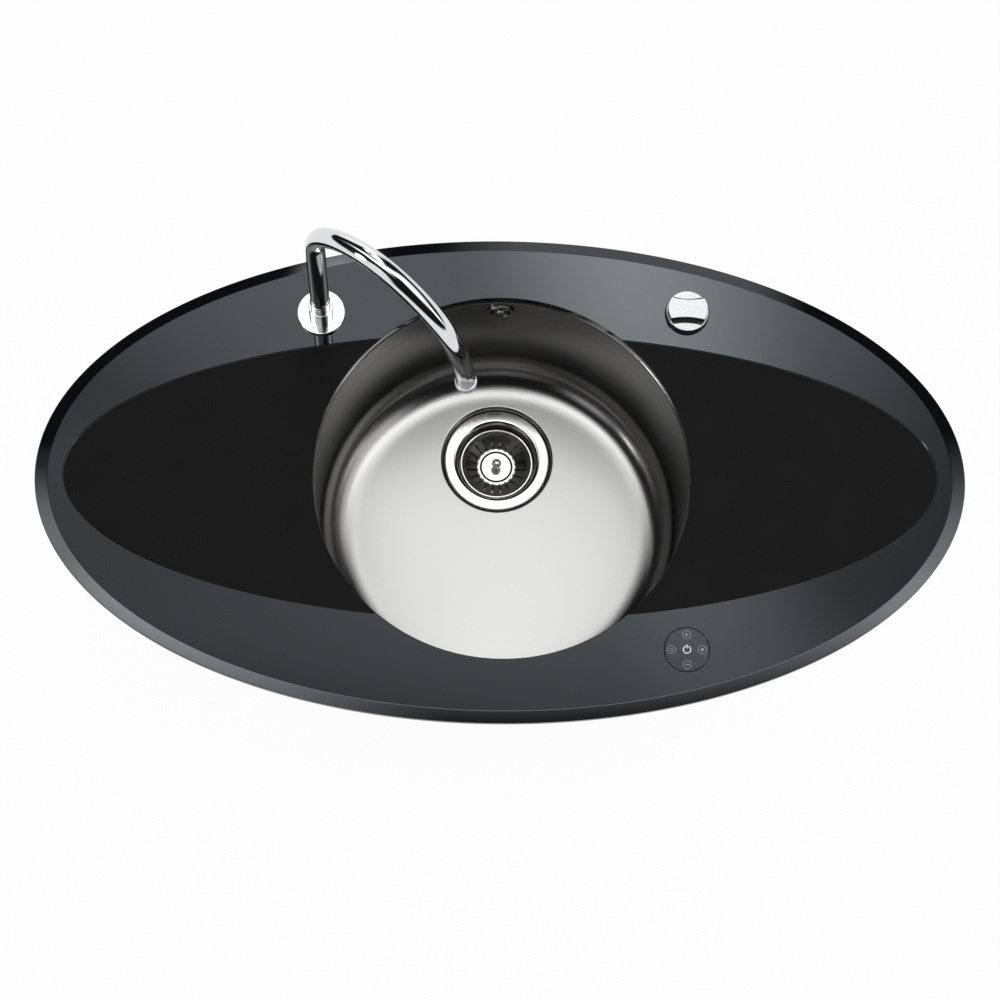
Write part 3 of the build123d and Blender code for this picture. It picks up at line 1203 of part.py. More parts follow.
def aerator_collar():
    plug_r = SPOUT_BORE_R - SNUG
    socket_r = AERATOR_R + SNUG
    throat_r = AERATOR_R - AERATOR_WALL
    c = AERATOR_COLLAR_CHAMFER
    section = [
        (plug_r, -AERATOR_COLLAR_PLUG),
        (plug_r, 0),
        (AERATOR_COLLAR_R, 0),
        (AERATOR_COLLAR_R, AERATOR_COLLAR_LENGTH - c),
        (AERATOR_COLLAR_R - c, AERATOR_COLLAR_LENGTH),
        (socket_r, AERATOR_COLLAR_LENGTH),
        (socket_r, AERATOR_COLLAR_FLOOR),
        (throat_r, AERATOR_COLLAR_FLOOR),
        (throat_r, -AERATOR_COLLAR_PLUG),
    ]
    return outlet_plane() * turned(section)


def aerator():
    inner_r = AERATOR_R - AERATOR_WALL
    mouth = AERATOR_COLLAR_LENGTH + AERATOR_PROUD
    plate_outer = mouth - AERATOR_PLATE_SETBACK
    plate_inner = plate_outer - AERATOR_PLATE
    insert = tube(AERATOR_R, inner_r, AERATOR_COLLAR_FLOOR + SNUG, mouth)
    plate = rod(inner_r + AERATOR_WALL / 2, plate_inner, plate_outer)
    hole = rod(AERATOR_HOLE_R, plate_inner - CUT, plate_outer + CUT)
    for ring_r, count in zip(AERATOR_HOLE_RINGS_R, AERATOR_HOLE_COUNTS):
        for cut in around(count, Pos(ring_r, 0, 0) * hole):
            plate -= cut
    return outlet_plane() * (insert + plate)


def tap_rubber_washer():
    washer = tube(TAP_RUBBER_R, TAP_SHANK_R + THREAD_CLEARANCE, FRAME_BOTTOM - TAP_RUBBER, FRAME_BOTTOM)
    return at(TAP_X, TAP_Y, washer)


def tap_steel_washer():
    top = FRAME_BOTTOM - TAP_RUBBER
    low = top - TAP_WASHER
    slot_r = TAP_SHANK_R + REST_GAP
    washer = tube(TAP_WASHER_R, slot_r, low, top)
    washer -= block(0, TAP_WASHER_R + CUT, -slot_r, slot_r, low - CUT, top + CUT)
    return at(TAP_X, TAP_Y, washer)


def tap_locknut():
    top = FRAME_BOTTOM - TAP_RUBBER - TAP_WASHER
    low = top - TAP_NUT_HEIGHT
    nut = hexagon(TAP_NUT_ACROSS, low, top) - rod(TAP_SHANK_R + THREAD_CLEARANCE, low - CUT, top + CUT)
    return at(TAP_X, TAP_Y, nut)


def tap_inlet():
    foot = TAP_FOOT - INLET_COLLAR - INLET_LENGTH
    inlet = hexagon(INLET_COLLAR_ACROSS, TAP_FOOT - INLET_COLLAR, TAP_FOOT)
    inlet += rod(INLET_R, foot, TAP_FOOT)
    inlet += rod(TAP_SHANK_BORE_R - SNUG, TAP_FOOT, TAP_FOOT + INLET_PLUG)
    inlet -= rod(INLET_BORE_R, foot - CUT, TAP_FOOT + INLET_PLUG + CUT)
    return at(TAP_X, TAP_Y, inlet)


# Touch pad and sensor

def power_mark():
    ring = Circle(POWER_R) - Circle(POWER_R - POWER_LINE)
    gap = radians(POWER_GAP_DEG / 2)
    reach = 2 * POWER_R
    corner = (reach * sin(gap), reach * cos(gap))
    ring -= make_face(Polyline((0, 0), corner, (-corner[0], corner[1]), close=True))
    foot = POWER_STROKE_FOOT * POWER_R
    top = POWER_R + POWER_LINE
    return ring + Pos(0, (foot + top) / 2) * Rectangle(POWER_LINE, top - foot)


def touch_marks():
    # A power sign in the middle and four ringed signs round it: plus above, minus below, spot and hoop beside.
    ring = Circle(ICON_R) - Circle(ICON_R - ICON_LINE)
    bar = Rectangle(ICON_R, ICON_BAR)
    spot = Circle(ICON_SPOT_R)
    hoop = spot - Circle(ICON_SPOT_R - ICON_LINE)
    places = [Pos(ICON_PITCH, 0), Pos(-ICON_PITCH, 0), Pos(0, ICON_PITCH), Pos(0, -ICON_PITCH)]
    signs = [spot, hoop, bar + Rot(0, 0, 90) * bar, bar]
    marks = [power_mark()]
    for place, sign in zip(places, signs):
        marks += [place * ring, place * sign]
    return group([extrude(Pos(0, 0, GLASS_TOP - ICON_INLAY) * mark, amount=ICON_INLAY) for mark in marks])


def touch_pad():
    return at(PAD_X, PAD_Y, rod(PAD_R, GLASS_TOP - PAD_THICKNESS, GLASS_TOP) - touch_marks())


def touch_icons():
    return at(PAD_X, PAD_Y, touch_marks())


def pad_bond():
    outer = PAD_R - PAD_BOND_SETBACK
    return at(PAD_X, PAD_Y, tube(outer, outer - PAD_BOND_WIDTH, GLASS_BOTTOM, GLASS_TOP - PAD_THICKNESS))


def sensor_housing():
    inner = SENSOR_R - SENSOR_WALL
    low = SENSOR_FOOT + SENSOR_WALL
    housing = rod(SENSOR_R, low, GLASS_BOTTOM)
    housing -= rod(inner, low - CUT, GLASS_BOTTOM - SENSOR_WALL)
    return at(PAD_X, PAD_Y, housing)


def sensor_lid():
    low = SENSOR_FOOT + SENSOR_WALL
    plug_r = SENSOR_R - SENSOR_WALL - SNUG
    lid = rod(SENSOR_R, SENSOR_FOOT, low) + tube(plug_r, plug_r - SENSOR_WALL, low, low + SENSOR_LID_PLUG)
    gland_foot = SENSOR_FOOT - SENSOR_GLAND_LENGTH
    lid += rod(SENSOR_GLAND_R, gland_foot, SENSOR_FOOT + SENSOR_WALL / 2)
    lid -= rod(SENSOR_CABLE_R, gland_foot - CUT, low + CUT)
    return at(PAD_X, PAD_Y, lid)


MAKERS = {
    "glass_top": glass_top,
    "seal_strip": seal_strip,
    "underframe": underframe,
    "bowl_bond": bowl_bond,
    "bowl": bowl,
    "bowl_clamps": bowl_clamps,
    "clamp_nuts": clamp_nuts,
    "fixing_brackets": fixing_brackets,
    "fixing_screws": fixing_screws,
    "fixing_arms": fixing_arms,
    "waste_flange": waste_flange,
    "flange_seal": flange_seal,
    "waste_gasket": waste_gasket,
    "waste_locknut": waste_locknut,
    "waste_body": waste_body,
    "cable_bracket": cable_bracket,
    "basket": basket,
    "basket_disc": basket_disc,
    "basket_pull": basket_pull,
    "basket_seal": basket_seal,
    "basket_stem_nut": basket_stem_nut,
    "lift_pin": lift_pin,
    "lift_crank": lift_crank,
    "crank_arm": crank_arm,
    "crank_clip": crank_clip,
    "overflow_rosette": overflow_rosette,
    "overflow_screw": overflow_screw,
    "overflow_seal": overflow_seal,
    "overflow_elbow": overflow_elbow,
    "overflow_pipe": overflow_pipe,
    "union_nuts": union_nuts,
    "knob_grip": knob_grip,
    "knob_grub_screw": knob_grub_screw,
    "knob_skirt": knob_skirt,
    "control_bush": control_bush,
    "control_washer": control_washer,
    "control_locknut": control_locknut,
    "control_shaft": control_shaft,
    "cable_drum": cable_drum,
    "drum_housing": drum_housing,
    "drum_cover": drum_cover,
    "drum_screws": drum_screws,
    "tap_flange": tap_flange,
    "tap_seal": tap_seal,
    "tap_body": tap_body,
    "tap_grub_screw": tap_grub_screw,
    "swivel_collar": swivel_collar,
    "spout_o_rings": spout_o_rings,
    "spout": spout,
    "aerator_collar": aerator_collar,
    "aerator": aerator,
    "tap_rubber_washer": tap_rubber_washer,
    "tap_steel_washer": tap_steel_washer,
    "tap_locknut": tap_locknut,
    "tap_inlet": tap_inlet,
    "touch_pad": touch_pad,
    "touch_icons": touch_icons,
    "pad_bond": pad_bond,
    "sensor_housing": sensor_housing,
    "sensor_lid": sensor_lid,
}

os.makedirs("parts", exist_ok=True)
for name, maker in MAKERS.items():
    save(name, maker())
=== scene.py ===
from math import acos, atan, cos, hypot, pi, radians, sin, sqrt, tan
from types import SimpleNamespace

import bmesh
import bpy
from mathutils import Matrix, Vector


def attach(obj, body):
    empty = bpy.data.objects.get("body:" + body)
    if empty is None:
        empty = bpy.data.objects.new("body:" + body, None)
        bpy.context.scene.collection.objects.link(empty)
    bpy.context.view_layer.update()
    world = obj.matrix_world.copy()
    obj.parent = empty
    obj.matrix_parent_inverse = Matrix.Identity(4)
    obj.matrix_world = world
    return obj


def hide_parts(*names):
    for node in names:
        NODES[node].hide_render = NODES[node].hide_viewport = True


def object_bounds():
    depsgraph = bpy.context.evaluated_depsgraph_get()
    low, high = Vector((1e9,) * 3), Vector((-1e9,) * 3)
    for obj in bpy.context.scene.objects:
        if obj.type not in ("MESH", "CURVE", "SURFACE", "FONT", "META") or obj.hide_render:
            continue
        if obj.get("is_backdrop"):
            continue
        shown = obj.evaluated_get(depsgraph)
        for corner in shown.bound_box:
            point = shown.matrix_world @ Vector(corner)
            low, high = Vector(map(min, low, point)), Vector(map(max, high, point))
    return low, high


bl_info = {
    "name": "Glass inset sink builder",
    "version": (1, 0, 0),
    "blender": (4, 5, 0),
    "location": "View3D > Sidebar > Sink",
    "description": "Builds the pieces, finishes, floor, light and camera of an oval glass inset sink",
    "category": "Object",
}

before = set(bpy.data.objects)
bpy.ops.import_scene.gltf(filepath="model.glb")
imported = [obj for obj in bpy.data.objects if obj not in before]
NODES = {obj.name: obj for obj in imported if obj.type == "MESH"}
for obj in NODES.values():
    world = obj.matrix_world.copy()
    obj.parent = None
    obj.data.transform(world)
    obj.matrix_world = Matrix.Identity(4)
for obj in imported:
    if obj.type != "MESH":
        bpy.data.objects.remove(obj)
# The finishes by their short names, filled by the first operator
FINISHES = {}

# Everything below is drawn in millimetres and made in metres.
MM = 0.001
# Points round a full turn
AROUND = 256
# Fewest steps in a rounded corner, and the length of its steps where it is large
ARC_STEPS = 6
ARC_STEP_LENGTH = 1.5
# Edges that turn by less are shaded smooth
SMOOTH_BELOW = radians(32)
# The stretch of a noise pattern that is spread over a finish's whole range
PATTERN_LOW, PATTERN_HIGH = 0.3, 0.7

# The camera that took the picture, found from the round and oval edges in it
CAMERA_PLACE = (-0.0744, -0.8663, 2.6229)
CAMERA_YAW = -0.086
CAMERA_PITCH = 1.259
CAMERA_ROLL = 0.087
CAMERA_LENS = 97.19
SENSOR = 36.0


def linear(hex_colour):
    """Turns an sRGB hex colour into the linear colour that a shader takes."""
    values = [int(hex_colour[i:i + 2], 16) / 255 for i in (1, 3, 5)]
    return tuple(v / 12.92 if v <= 0.04045 else ((v + 0.055) / 1.055) ** 2.4 for v in values)


def length(name, about, default_mm):
    return bpy.props.FloatProperty(
        name=name, description=about, default=default_mm * MM,
        unit="LENGTH", subtype="DISTANCE", precision=4,
    )


def colour(name, about, default):
    return bpy.props.FloatVectorProperty(
        name=name, description=about, default=linear(default), subtype="COLOR", size=3, min=0.0, max=1.0
    )


def share(name, about, default):
    return bpy.props.FloatProperty(
        name=name, description=about, default=default, min=0.0, max=1.0, subtype="FACTOR"
    )


class SinkSizes(bpy.types.PropertyGroup):
    """Sizes of the pieces that are drawn here. They match the CAD part."""

    glass_half_length: length("Glass half length", "Half of the oval glass from end to end", 475.0)
    glass_half_width: length("Glass half width", "Half of the oval glass from front to rear", 259.0)
    glass_bottom: length("Glass underside", "Height of the glass's underside over the worktop", 2.0)
    glass_top: length("Glass top", "Height of the glass's upper face over the worktop", 10.0)
    bevel_ends: length("Bevel at the ends", "Width of the ground bevel at the two ends", 13.7)
    bevel_sides: length("Bevel at the sides", "Width of the ground bevel at front and rear", 12.3)
    bevel_drop: length("Bevel drop", "Height that the bevel falls", 2.6)
    drainer_half_length: length("Drainer half length", "Half of the sunken oval from end to end", 446.3)
    drainer_half_width: length("Drainer half width", "Half of the sunken oval from front to rear", 154.0)
    drainer_depth: length("Drainer depth", "Depth of the sunken oval", 2.0)
    opening_radius: length("Bowl opening radius", "Radius of the round opening in the glass", 193.5)
    bowl_top_radius: length("Bowl radius at the top", "Inside radius of the wall under the glass", 192.5)
    bowl_foot_radius: length("Bowl radius at the foot", "Inside radius where wall meets floor", 189.5)
    bowl_floor: length("Bowl floor", "Height of the bowl's floor", -185.0)
    bowl_round: length("Bowl floor round", "Radius between wall and floor", 44.0)
    waste_y: length("Waste distance", "Distance of the waste behind the bowl's centre", 82.5)
    recess_radius: length("Waste recess radius", "Radius of the recess round the waste", 60.8)
    recess_depth: length("Waste recess depth", "Depth of the recess round the waste", 6.5)
    basket_rim: length("Basket rim", "Height of the basket's rim", -200.2)
    overflow_wall: length("Overflow wall", "Distance from the bowl's middle to its wall there", 192.15)
    overflow_level: length("Overflow level", "Height of the overflow's middle", -20.5)
    tap_x: length("Tap across", "Place of the tap from left to right", -187.0)
    tap_y: length("Tap back", "Place of the tap from front to rear", 175.3)
    spout_radius: length("Spout radius", "Outside radius of the spout's tube", 10.0)
    spout_bore: length("Spout bore", "Inside radius of the spout's tube", 8.0)
    spout_riser: length("Spout riser", "Height over the glass where the bend starts", 172.0)
    knob_x: length("Knob across", "Place of the turn knob from left to right", 193.5)
    knob_y: length("Knob back", "Place of the turn knob from front to rear", 178.0)
    pad_x: length("Pad across", "Place of the touch pad from left to right", 184.7)
    pad_y: length("Pad back", "Place of the touch pad from front to rear", -183.5)
    pad_radius: length("Pad radius", "Radius of the touch pad", 22.7)


class SinkColours(bpy.types.PropertyGroup):
    """Colours and finish strengths that a user would change."""

    glass: colour("Black glass", "Enamel behind the clear glass", "#0d0e11")
    etched: colour("Etched glass", "Sunken matte part of the glass", "#080808")
    bowl: colour("Bowl floor", "Satin ground stainless steel of the bowl's floor", "#c5c5c4")
    # The wall's darker colour is painted shade.
    bowl_wall_painted_shade: colour("Bowl wall", "Drawn stainless steel, darker than the ground floor", "#929190")
    # This darker steel colour is painted shade in the dish, the cup and the grille.
    pressed: colour("Pressed steel", "Dull steel of the basket's dish and inside the cup", "#858482")
    polished: colour("Polished steel", "Stainless steel of the waste and basket", "#d3d1cd")
    chrome: colour("Chrome", "Plating of the tap", "#dcdee0")
    knob: colour("Knob", "Satin plating of the turn knob", "#a5a6a8")
    zinc: colour("Zinc", "Plated steel under the glass", "#a9adb0")
    rubber: colour("Rubber", "Seals", "#1a1a1a")
    white_plastic: colour("White plastic", "Waste body and nuts", "#e4e3df")
    grey_plastic: colour("Grey plastic", "Overflow pipe", "#a7a9aa")
    black_plastic: colour("Black plastic", "Bush, drum housing and sensor box", "#1c1c1e")
    brass: colour("Brass", "Tap nut and inlet", "#c9a75a")
    bond: colour("Bond", "Silicone between glass and steel", "#b9bab8")
    signs: colour("Signs", "Printed signs round the power sign", "#8b8d90")
    power: colour("Power sign", "Printed power sign", "#e9eaeb")
    floor: colour("Floor", "Pale studio floor", "#ffffff")
    floor_shadow: share("Floor shadow", "How much of the object's shadow the floor shows", 0.04)


def in_mm(context):
    """All sizes as plain numbers in millimetres."""
    group = context.scene.sink_sizes
    return SimpleNamespace(**{name: getattr(group, name) / MM for name in SinkSizes.__annotations__})


# Lines and rings

def rounded(points, radii, closed=False):
    """A line through points, with the corners numbered in radii turned into arcs."""
    line = []
    count = len(points)
    for i, point in enumerate(points):
        radius = radii.get(i, 0.0)
        if radius <= 0.0 or (not closed and i in (0, count - 1)):
            line.append(point)
            continue
        here = Vector(point)
        back = (Vector(points[i - 1]) - here).normalized()
        on = (Vector(points[(i + 1) % count]) - here).normalized()
        half = acos(max(-1.0, min(1.0, back.dot(on)))) / 2
        centre = here + (back + on).normalized() * (radius / sin(half))
        start = here + back * (radius / tan(half)) - centre
        end = here + on * (radius / tan(half)) - centre
        turn = pi - 2 * half
        steps = max(ARC_STEPS, int(turn * radius / ARC_STEP_LENGTH))
        for k in range(steps + 1):
            a = turn * k / steps
            line.append(tuple(centre + (start * sin(turn - a) + end * sin(a)) / sin(turn)))
    return line


def eased_round(start, floor, foot, slope, rise=0.15, steps=64):
    """Profile from a flat floor up to a wall at foot + slope * height, its curve setting in gently."""
    turn = pi / 2 - atan(slope)
    total = 1 - rise / 2
    headings = []
    for k in range(steps + 1):
        u = k / steps
        bent = u * u / (2 * rise) if u < rise else u - rise / 2
        headings.append(turn * bent / total)
    across, up, line = 0.0, 0.0, [(0.0, 0.0)]
    for a, b in zip(headings, headings[1:]):
        middle = (a + b) / 2
        across += cos(middle) / steps
        up += sin(middle) / steps
        line.append((across, up))
    size = (foot - start) / (across - slope * up)
    return [(start + x * size, floor + z * size) for x, z in line]


def arc(radius, start, turn, steps, x=0.0, y=0.0):
    """Points along an arc about (x, y), from a heading through a turn."""
    headings = [start + turn * k / steps for k in range(steps + 1)]
    return [(x + radius * cos(a), y + radius * sin(a)) for a in headings]


def ellipse(half_x, half_y, z, x=0.0, y=0.0, count=2 * AROUND):
    turns = [2 * pi * i / count for i in range(count)]
    return [(x + half_x * cos(a), y + half_y * sin(a), z) for a in turns]


def circle(radius, z, x=0.0, y=0.0, count=AROUND):
    """A level ring, or one point where it has no radius."""
    return [(x, y, z)] if radius < 1e-6 else ellipse(radius, radius, z, x, y, count)


def turned(profile, x=0.0, y=0.0, count=AROUND):
    """Rings of a form turned about an upright axis. The profile is a list of (radius, height)."""
    return [circle(r, z, x, y, count) for r, z in profile]


def skin(rings, closed=False):
    """A mesh through the rings. Closed joins the last to the first, otherwise open ends are capped."""
    bm = bmesh.new()
    rows = [[bm.verts.new(Vector(point) * MM) for point in ring] for ring in rings]
    pairs = list(zip(rows, rows[1:]))
    if closed:
        pairs.append((rows[-1], rows[0]))
    for low, high in pairs:
        count = max(len(low), len(high))
        for i in range(count):
            j = (i + 1) % count
            corners = (low[i % len(low)], low[j % len(low)], high[j % len(high)], high[i % len(high)])
            corners = list(dict.fromkeys(corners))
            if len(corners) > 2:
                bm.faces.new(corners)
    if not closed:
        for row in (rows[0], rows[-1]):
            if len(row) > 1:
                bm.faces.new(row)
    bmesh.ops.recalc_face_normals(bm, faces=bm.faces)
    return bm


def spun(section, radii, x, y, count=AROUND):
    """A mesh of a closed section turned about an upright axis, its numbered corners rounded."""
    return skin(turned(rounded(section, radii, closed=True), x, y, count), closed=True)


def gathered(meshes):
    """One mesh of several that stand apart."""
    whole = bmesh.new()
    for bm in meshes:
        part = bpy.data.meshes.new("part")
        bm.to_mesh(part)
        bm.free()
        whole.from_mesh(part)
        bpy.data.meshes.remove(part)
    return whole


def prism(outline, low, high):
    """An upright piece with the outline seen from above."""
    return skin([[(x, y, z) for x, y in outline] for z in (low, high)])


def slot_outline(near, far, half, angle, x=0.0, y=0.0, steps=8):
    """A slot with round ends that points away from (x, y)."""
    ends = arc(half, -pi / 2, pi, steps, far - half) + arc(half, pi / 2, pi, steps, near + half)
    return [(x + u * cos(angle) - v * sin(angle), y + u * sin(angle) + v * cos(angle)) for u, v in ends]


def hexagon(across, x=0.0, y=0.0):
    return arc(across / sqrt(3), 0.0, 2 * pi, 6, x, y)[:-1]


def thread(radius, low, high, pitch, depth):
    """Turns of a thread from low to high, as a profile of (radius, height)."""
    count = max(1, int((high - low) / pitch))
    step = (high - low) / count
    line = []
    for k in range(count):
        z = low + k * step
        line += [(radius - depth, z), (radius, z + 0.4 * step), (radius, z + 0.6 * step)]
    return line + [(radius - depth, high)]


def add_object(name, bm, *finishes):
    """An object of the mesh, with its finishes by their short names."""
    mesh = bpy.data.meshes.new(name)
    bm.to_mesh(mesh)
    bm.free()
    piece = bpy.data.objects.new(name, mesh)
    bpy.context.scene.collection.objects.link(piece)
    for finish in finishes:
        mesh.materials.append(FINISHES[finish])
    return piece


def shade(piece):
    """Shades the piece smooth over its blunt edges, its flats left even."""
    piece.data.polygons.foreach_set("use_smooth", [True] * len(piece.data.polygons))
    piece.data.set_sharp_from_angle(angle=SMOOTH_BELOW)
    piece.data.update()
    even = piece.modifiers.new("even_normals", "WEIGHTED_NORMAL")
    even.keep_sharp = True


def carve(piece, meshes, operation="DIFFERENCE"):
    """Takes the meshes out of the piece, or keeps what is inside them."""
    cutters = [add_object("cutter", bm) for bm in meshes]
    for cutter in cutters:
        cut = piece.modifiers.new("cut", "BOOLEAN")
        cut.operation = operation
        cut.solver = "EXACT"
        cut.object = cutter
    bpy.context.view_layer.update()
    shown = piece.evaluated_get(bpy.context.evaluated_depsgraph_get())
    mesh = bpy.data.meshes.new_from_object(shown)
    if len(mesh.polygons) == 0:
        raise RuntimeError(f"cutting left nothing of {piece.name}")
    piece.modifiers.clear()
    mesh.name = piece.name
    piece.data = mesh
    for cutter in cutters:
        bpy.data.objects.remove(cutter)


def hex_nut(name, across, low, high, bore, x, y, finish):
    """A hexagon of bar with its corners turned off at 30 degrees, and a round bore."""
    # The turned-off corners start just outside the flats, and the cutter stands proud all round.
    flat, corner, over = 0.51 * across, across / sqrt(3) + 0.2, 0.5
    slope = tan(radians(30))
    drop = (corner - flat) * slope
    near = flat - over / slope
    form = [(near, low - over), (corner, low + drop), (corner, high - drop), (near, high + over)]
    nut = add_object(name, prism(hexagon(across, x, y), low, high), finish)
    carve(nut, [skin(turned(form, x, y, 96))], "INTERSECT")
    carve(nut, [skin(turned([(bore, low - 1), (bore, high + 1)], x, y, 96))])
    return nut


def fit(piece, body, slot, *nodes):
    """Sets the piece on its body in place of the CAD nodes."""
    shade(piece)
    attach(piece, body)
    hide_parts(*nodes)


def paint_shade_ring(piece, s, near, far):
    """Gives the piece's faces between two distances from the waste's middle its second finish, a darker one
    that is painted shade.
    """
    for face in piece.data.polygons:
        away = hypot(face.center.x / MM, face.center.y / MM - s.waste_y)
        face.material_index = 1 if near < away < far else 0


def dress(finish, *names):
    """Gives CAD nodes that keep their own shape their finish."""
    for name in names:
        mesh = NODES[name].data
        mesh.materials.clear()
        mesh.materials.append(FINISHES[finish])


# Shader nodes

def feed(node, inputs):
    """Sets a node's inputs. Each is a value, a socket, or a node that feeds it."""
    for key, value in inputs.items():
        if isinstance(value, bpy.types.Node):
            value = next(socket for socket in value.outputs if socket.enabled)
        if isinstance(value, bpy.types.NodeSocket):
            node.id_data.links.new(value, node.inputs[key])
        else:
            node.inputs[key].default_value = value


def add_node(tree, kind, inputs=None, **settings):
    """Adds a node with its settings, values and links."""
    node = tree.nodes.new(kind)
    for key, value in settings.items():
        setattr(node, key, value)
    feed(node, inputs or {})
    return node


def new_finish(name, base, **sockets):
    """A material, its main shader with its constant sockets, and the place that patterns follow."""
    material = bpy.data.materials.new(name)
    material.use_nodes = True
    tree = material.node_tree
    tree.nodes.clear()
    shader = add_node(tree, "ShaderNodeBsdfPrincipled", {"Base Color": (*base, 1.0)})
    feed(shader, {key.replace("_", " "): value for key, value in sockets.items()})
    add_node(tree, "ShaderNodeOutputMaterial", {"Surface": shader})
    material.diffuse_color = (*base, 1.0)
    return material, shader, add_node(tree, "ShaderNodeTexCoord").outputs["Object"]


def per_metre(size_mm):
    """The scale of a pattern whose grains are size_mm apart."""
    return 1.0 / (size_mm * MM)


def scaled(base, factor):
    return tuple(min(1.0, c * factor) for c in base)


def vary(shader, place, size_mm, detail=2.0, stretch=None, rough=None, shades=None, relief_mm=None):
    """Lets a pattern of a real size vary the roughness, the colour by two factors, and the relief."""
    tree = shader.id_data
    if stretch:
        place = add_node(tree, "ShaderNodeMapping", {"Vector": place, "Scale": stretch})
    grains = {"Vector": place, "Scale": per_metre(size_mm), "Detail": detail}
    pattern = add_node(tree, "ShaderNodeTexNoise", grains)
    source = {"Value": pattern, "From Min": PATTERN_LOW, "From Max": PATTERN_HIGH}
    if rough:
        target = {"To Min": rough[0], "To Max": rough[1]}
        feed(shader, {"Roughness": add_node(tree, "ShaderNodeMapRange", {**source, **target})})
    if shades:
        base = shader.inputs["Base Color"].default_value[:3]
        dark, light = [(*scaled(base, factor), 1.0) for factor in shades]
        mix = {"Factor": add_node(tree, "ShaderNodeMapRange", source), "A": dark, "B": light}
        feed(shader, {"Base Color": add_node(tree, "ShaderNodeMix", mix, data_type="RGBA")})
    if relief_mm:
        relief = {"Height": pattern, "Strength": 1.0, "Distance": relief_mm * MM}
        feed(shader, {"Normal": add_node(tree, "ShaderNodeBump", relief)})


def float_glass(name, base):
    # Float glass, enamelled black behind: clean mirror with the faintest wiping marks, its reflections
    # painted a cool blue-white tint.
    cool_reflection_tint = (*linear("#f2faff"), 1.0)
    material, shader, place = new_finish(name, base, Metallic=0.0, IOR=1.52, Specular_Tint=cool_reflection_tint)
    vary(shader, place, 70.0, 3.0, (1.0, 2.5, 1.0), rough=(0.015, 0.045))
    return material


def etched_glass(name, base):
    # Deep etched black glass: the pits hold back most of the sheen.
    # The real grit is 0.1 mm, drawn at 1.2 mm to show.
    material, shader, place = new_finish(name, base, Metallic=0.0, IOR=1.52, Specular_IOR_Level=0.10)
    vary(shader, place, 45.0, rough=(0.50, 0.58))
    vary(shader, place, 1.2, 3.0, shades=(0.78, 1.25), relief_mm=0.02)
    return material


def satin_steel(name, base, wall):
    # Stainless steel 1.4301, deep drawn and satin ground: the floor is matt ground and evenly bright,
    # and the wall keeps the smoother drawn skin with faint rings round it, so it mirrors the dark far
    # side of the bowl. The wall's colour is painted darker and its reflections tinted grey as painted shade,
    # picked by how far each face turns from upward. The real grit is 0.1 mm, drawn at 1.5 mm to show.
    material, shader, place = new_finish(name, base, Metallic=1.0)
    tree = material.node_tree
    middle = add_node(tree, "ShaderNodeVectorMath", {0: place, 1: (1.0, 1.0, 0.0)}, operation="MULTIPLY")
    radius = add_node(tree, "ShaderNodeVectorMath", {0: middle}, operation="LENGTH")
    height = add_node(tree, "ShaderNodeSeparateXYZ", {"Vector": place}).outputs["Z"]
    facing = add_node(tree, "ShaderNodeNewGeometry").outputs["Normal"]
    level = add_node(tree, "ShaderNodeSeparateXYZ", {"Vector": facing}).outputs["Z"]
    around = add_node(tree, "ShaderNodeCombineXYZ", {"X": radius, "Y": height})
    rings = add_node(tree, "ShaderNodeTexNoise", {"Vector": around, "Scale": per_metre(5.0), "Detail": 3.0})
    grit = add_node(tree, "ShaderNodeTexNoise", {"Vector": place, "Scale": per_metre(1.5), "Detail": 2.0})
    drawn, ground, smooth, on_floor = [
        add_node(
            tree,
            "ShaderNodeMapRange",
            {"Value": value, "From Min": source[0], "From Max": source[1], "To Min": low, "To Max": high},
        )
        for value, source, low, high in (
            (rings, (PATTERN_LOW, PATTERN_HIGH), 0.17, 0.25),
            (grit, (PATTERN_LOW, PATTERN_HIGH), 0.41, 0.44),
            (level, (0.90, 0.985), 0.0, 1.0),
            (level, (0.905, 0.990), 0.0, 1.0),
        )
    ]
    rough = {"Factor": smooth, "A": drawn, "B": ground}
    feed(shader, {"Roughness": add_node(tree, "ShaderNodeMix", rough, data_type="FLOAT")})
    # Painted shade: the wall gets a darker colour and a grey tint on its reflections, the floor keeps the
    # plain colour and white reflections.
    grey, white = (0.45, 0.45, 0.45), (1.0, 1.0, 1.0)
    for socket, wall_shade, below in (("Base Color", wall, base), ("Specular Tint", grey, white)):
        shades = {"Factor": on_floor, "A": (*wall_shade, 1.0), "B": (*below, 1.0)}
        feed(shader, {socket: add_node(tree, "ShaderNodeMix", shades, data_type="RGBA")})
    return material


def polished_steel(name, base):
    # Stainless steel, pressed and buffed: bright with faint turning lines.
    material, shader, place = new_finish(name, base, Metallic=1.0)
    vary(shader, place, 3.0, 2.0, (1.0, 1.0, 6.0), rough=(0.10, 0.18), relief_mm=0.004)
    return material


def pressed_steel(name, base):
    # Stainless steel as it leaves the press, dulled by water, with soft patches. Its dark colour is painted
    # shade for the hollows it is put in.
    material, shader, place = new_finish(name, base, Metallic=1.0)
    vary(shader, place, 9.0, 3.0, rough=(0.26, 0.36), shades=(0.85, 1.1))
    return material


def chrome_plate(name, base):
    # Brass, polished and chromed: hard bright mirror, barely softened.
    material, shader, place = new_finish(name, base, Metallic=1.0)
    vary(shader, place, 25.0, rough=(0.06, 0.10))
    return material


def satin_chrome(name, base, low, high):
    # Zinc or brass, blasted and chromed: an even, pale sheen.
    # The blasting's real grain is 0.05 mm, drawn at 1.5 mm to show.
    material, shader, place = new_finish(name, base, Metallic=1.0)
    vary(shader, place, 1.5, rough=(low, high))
    return material


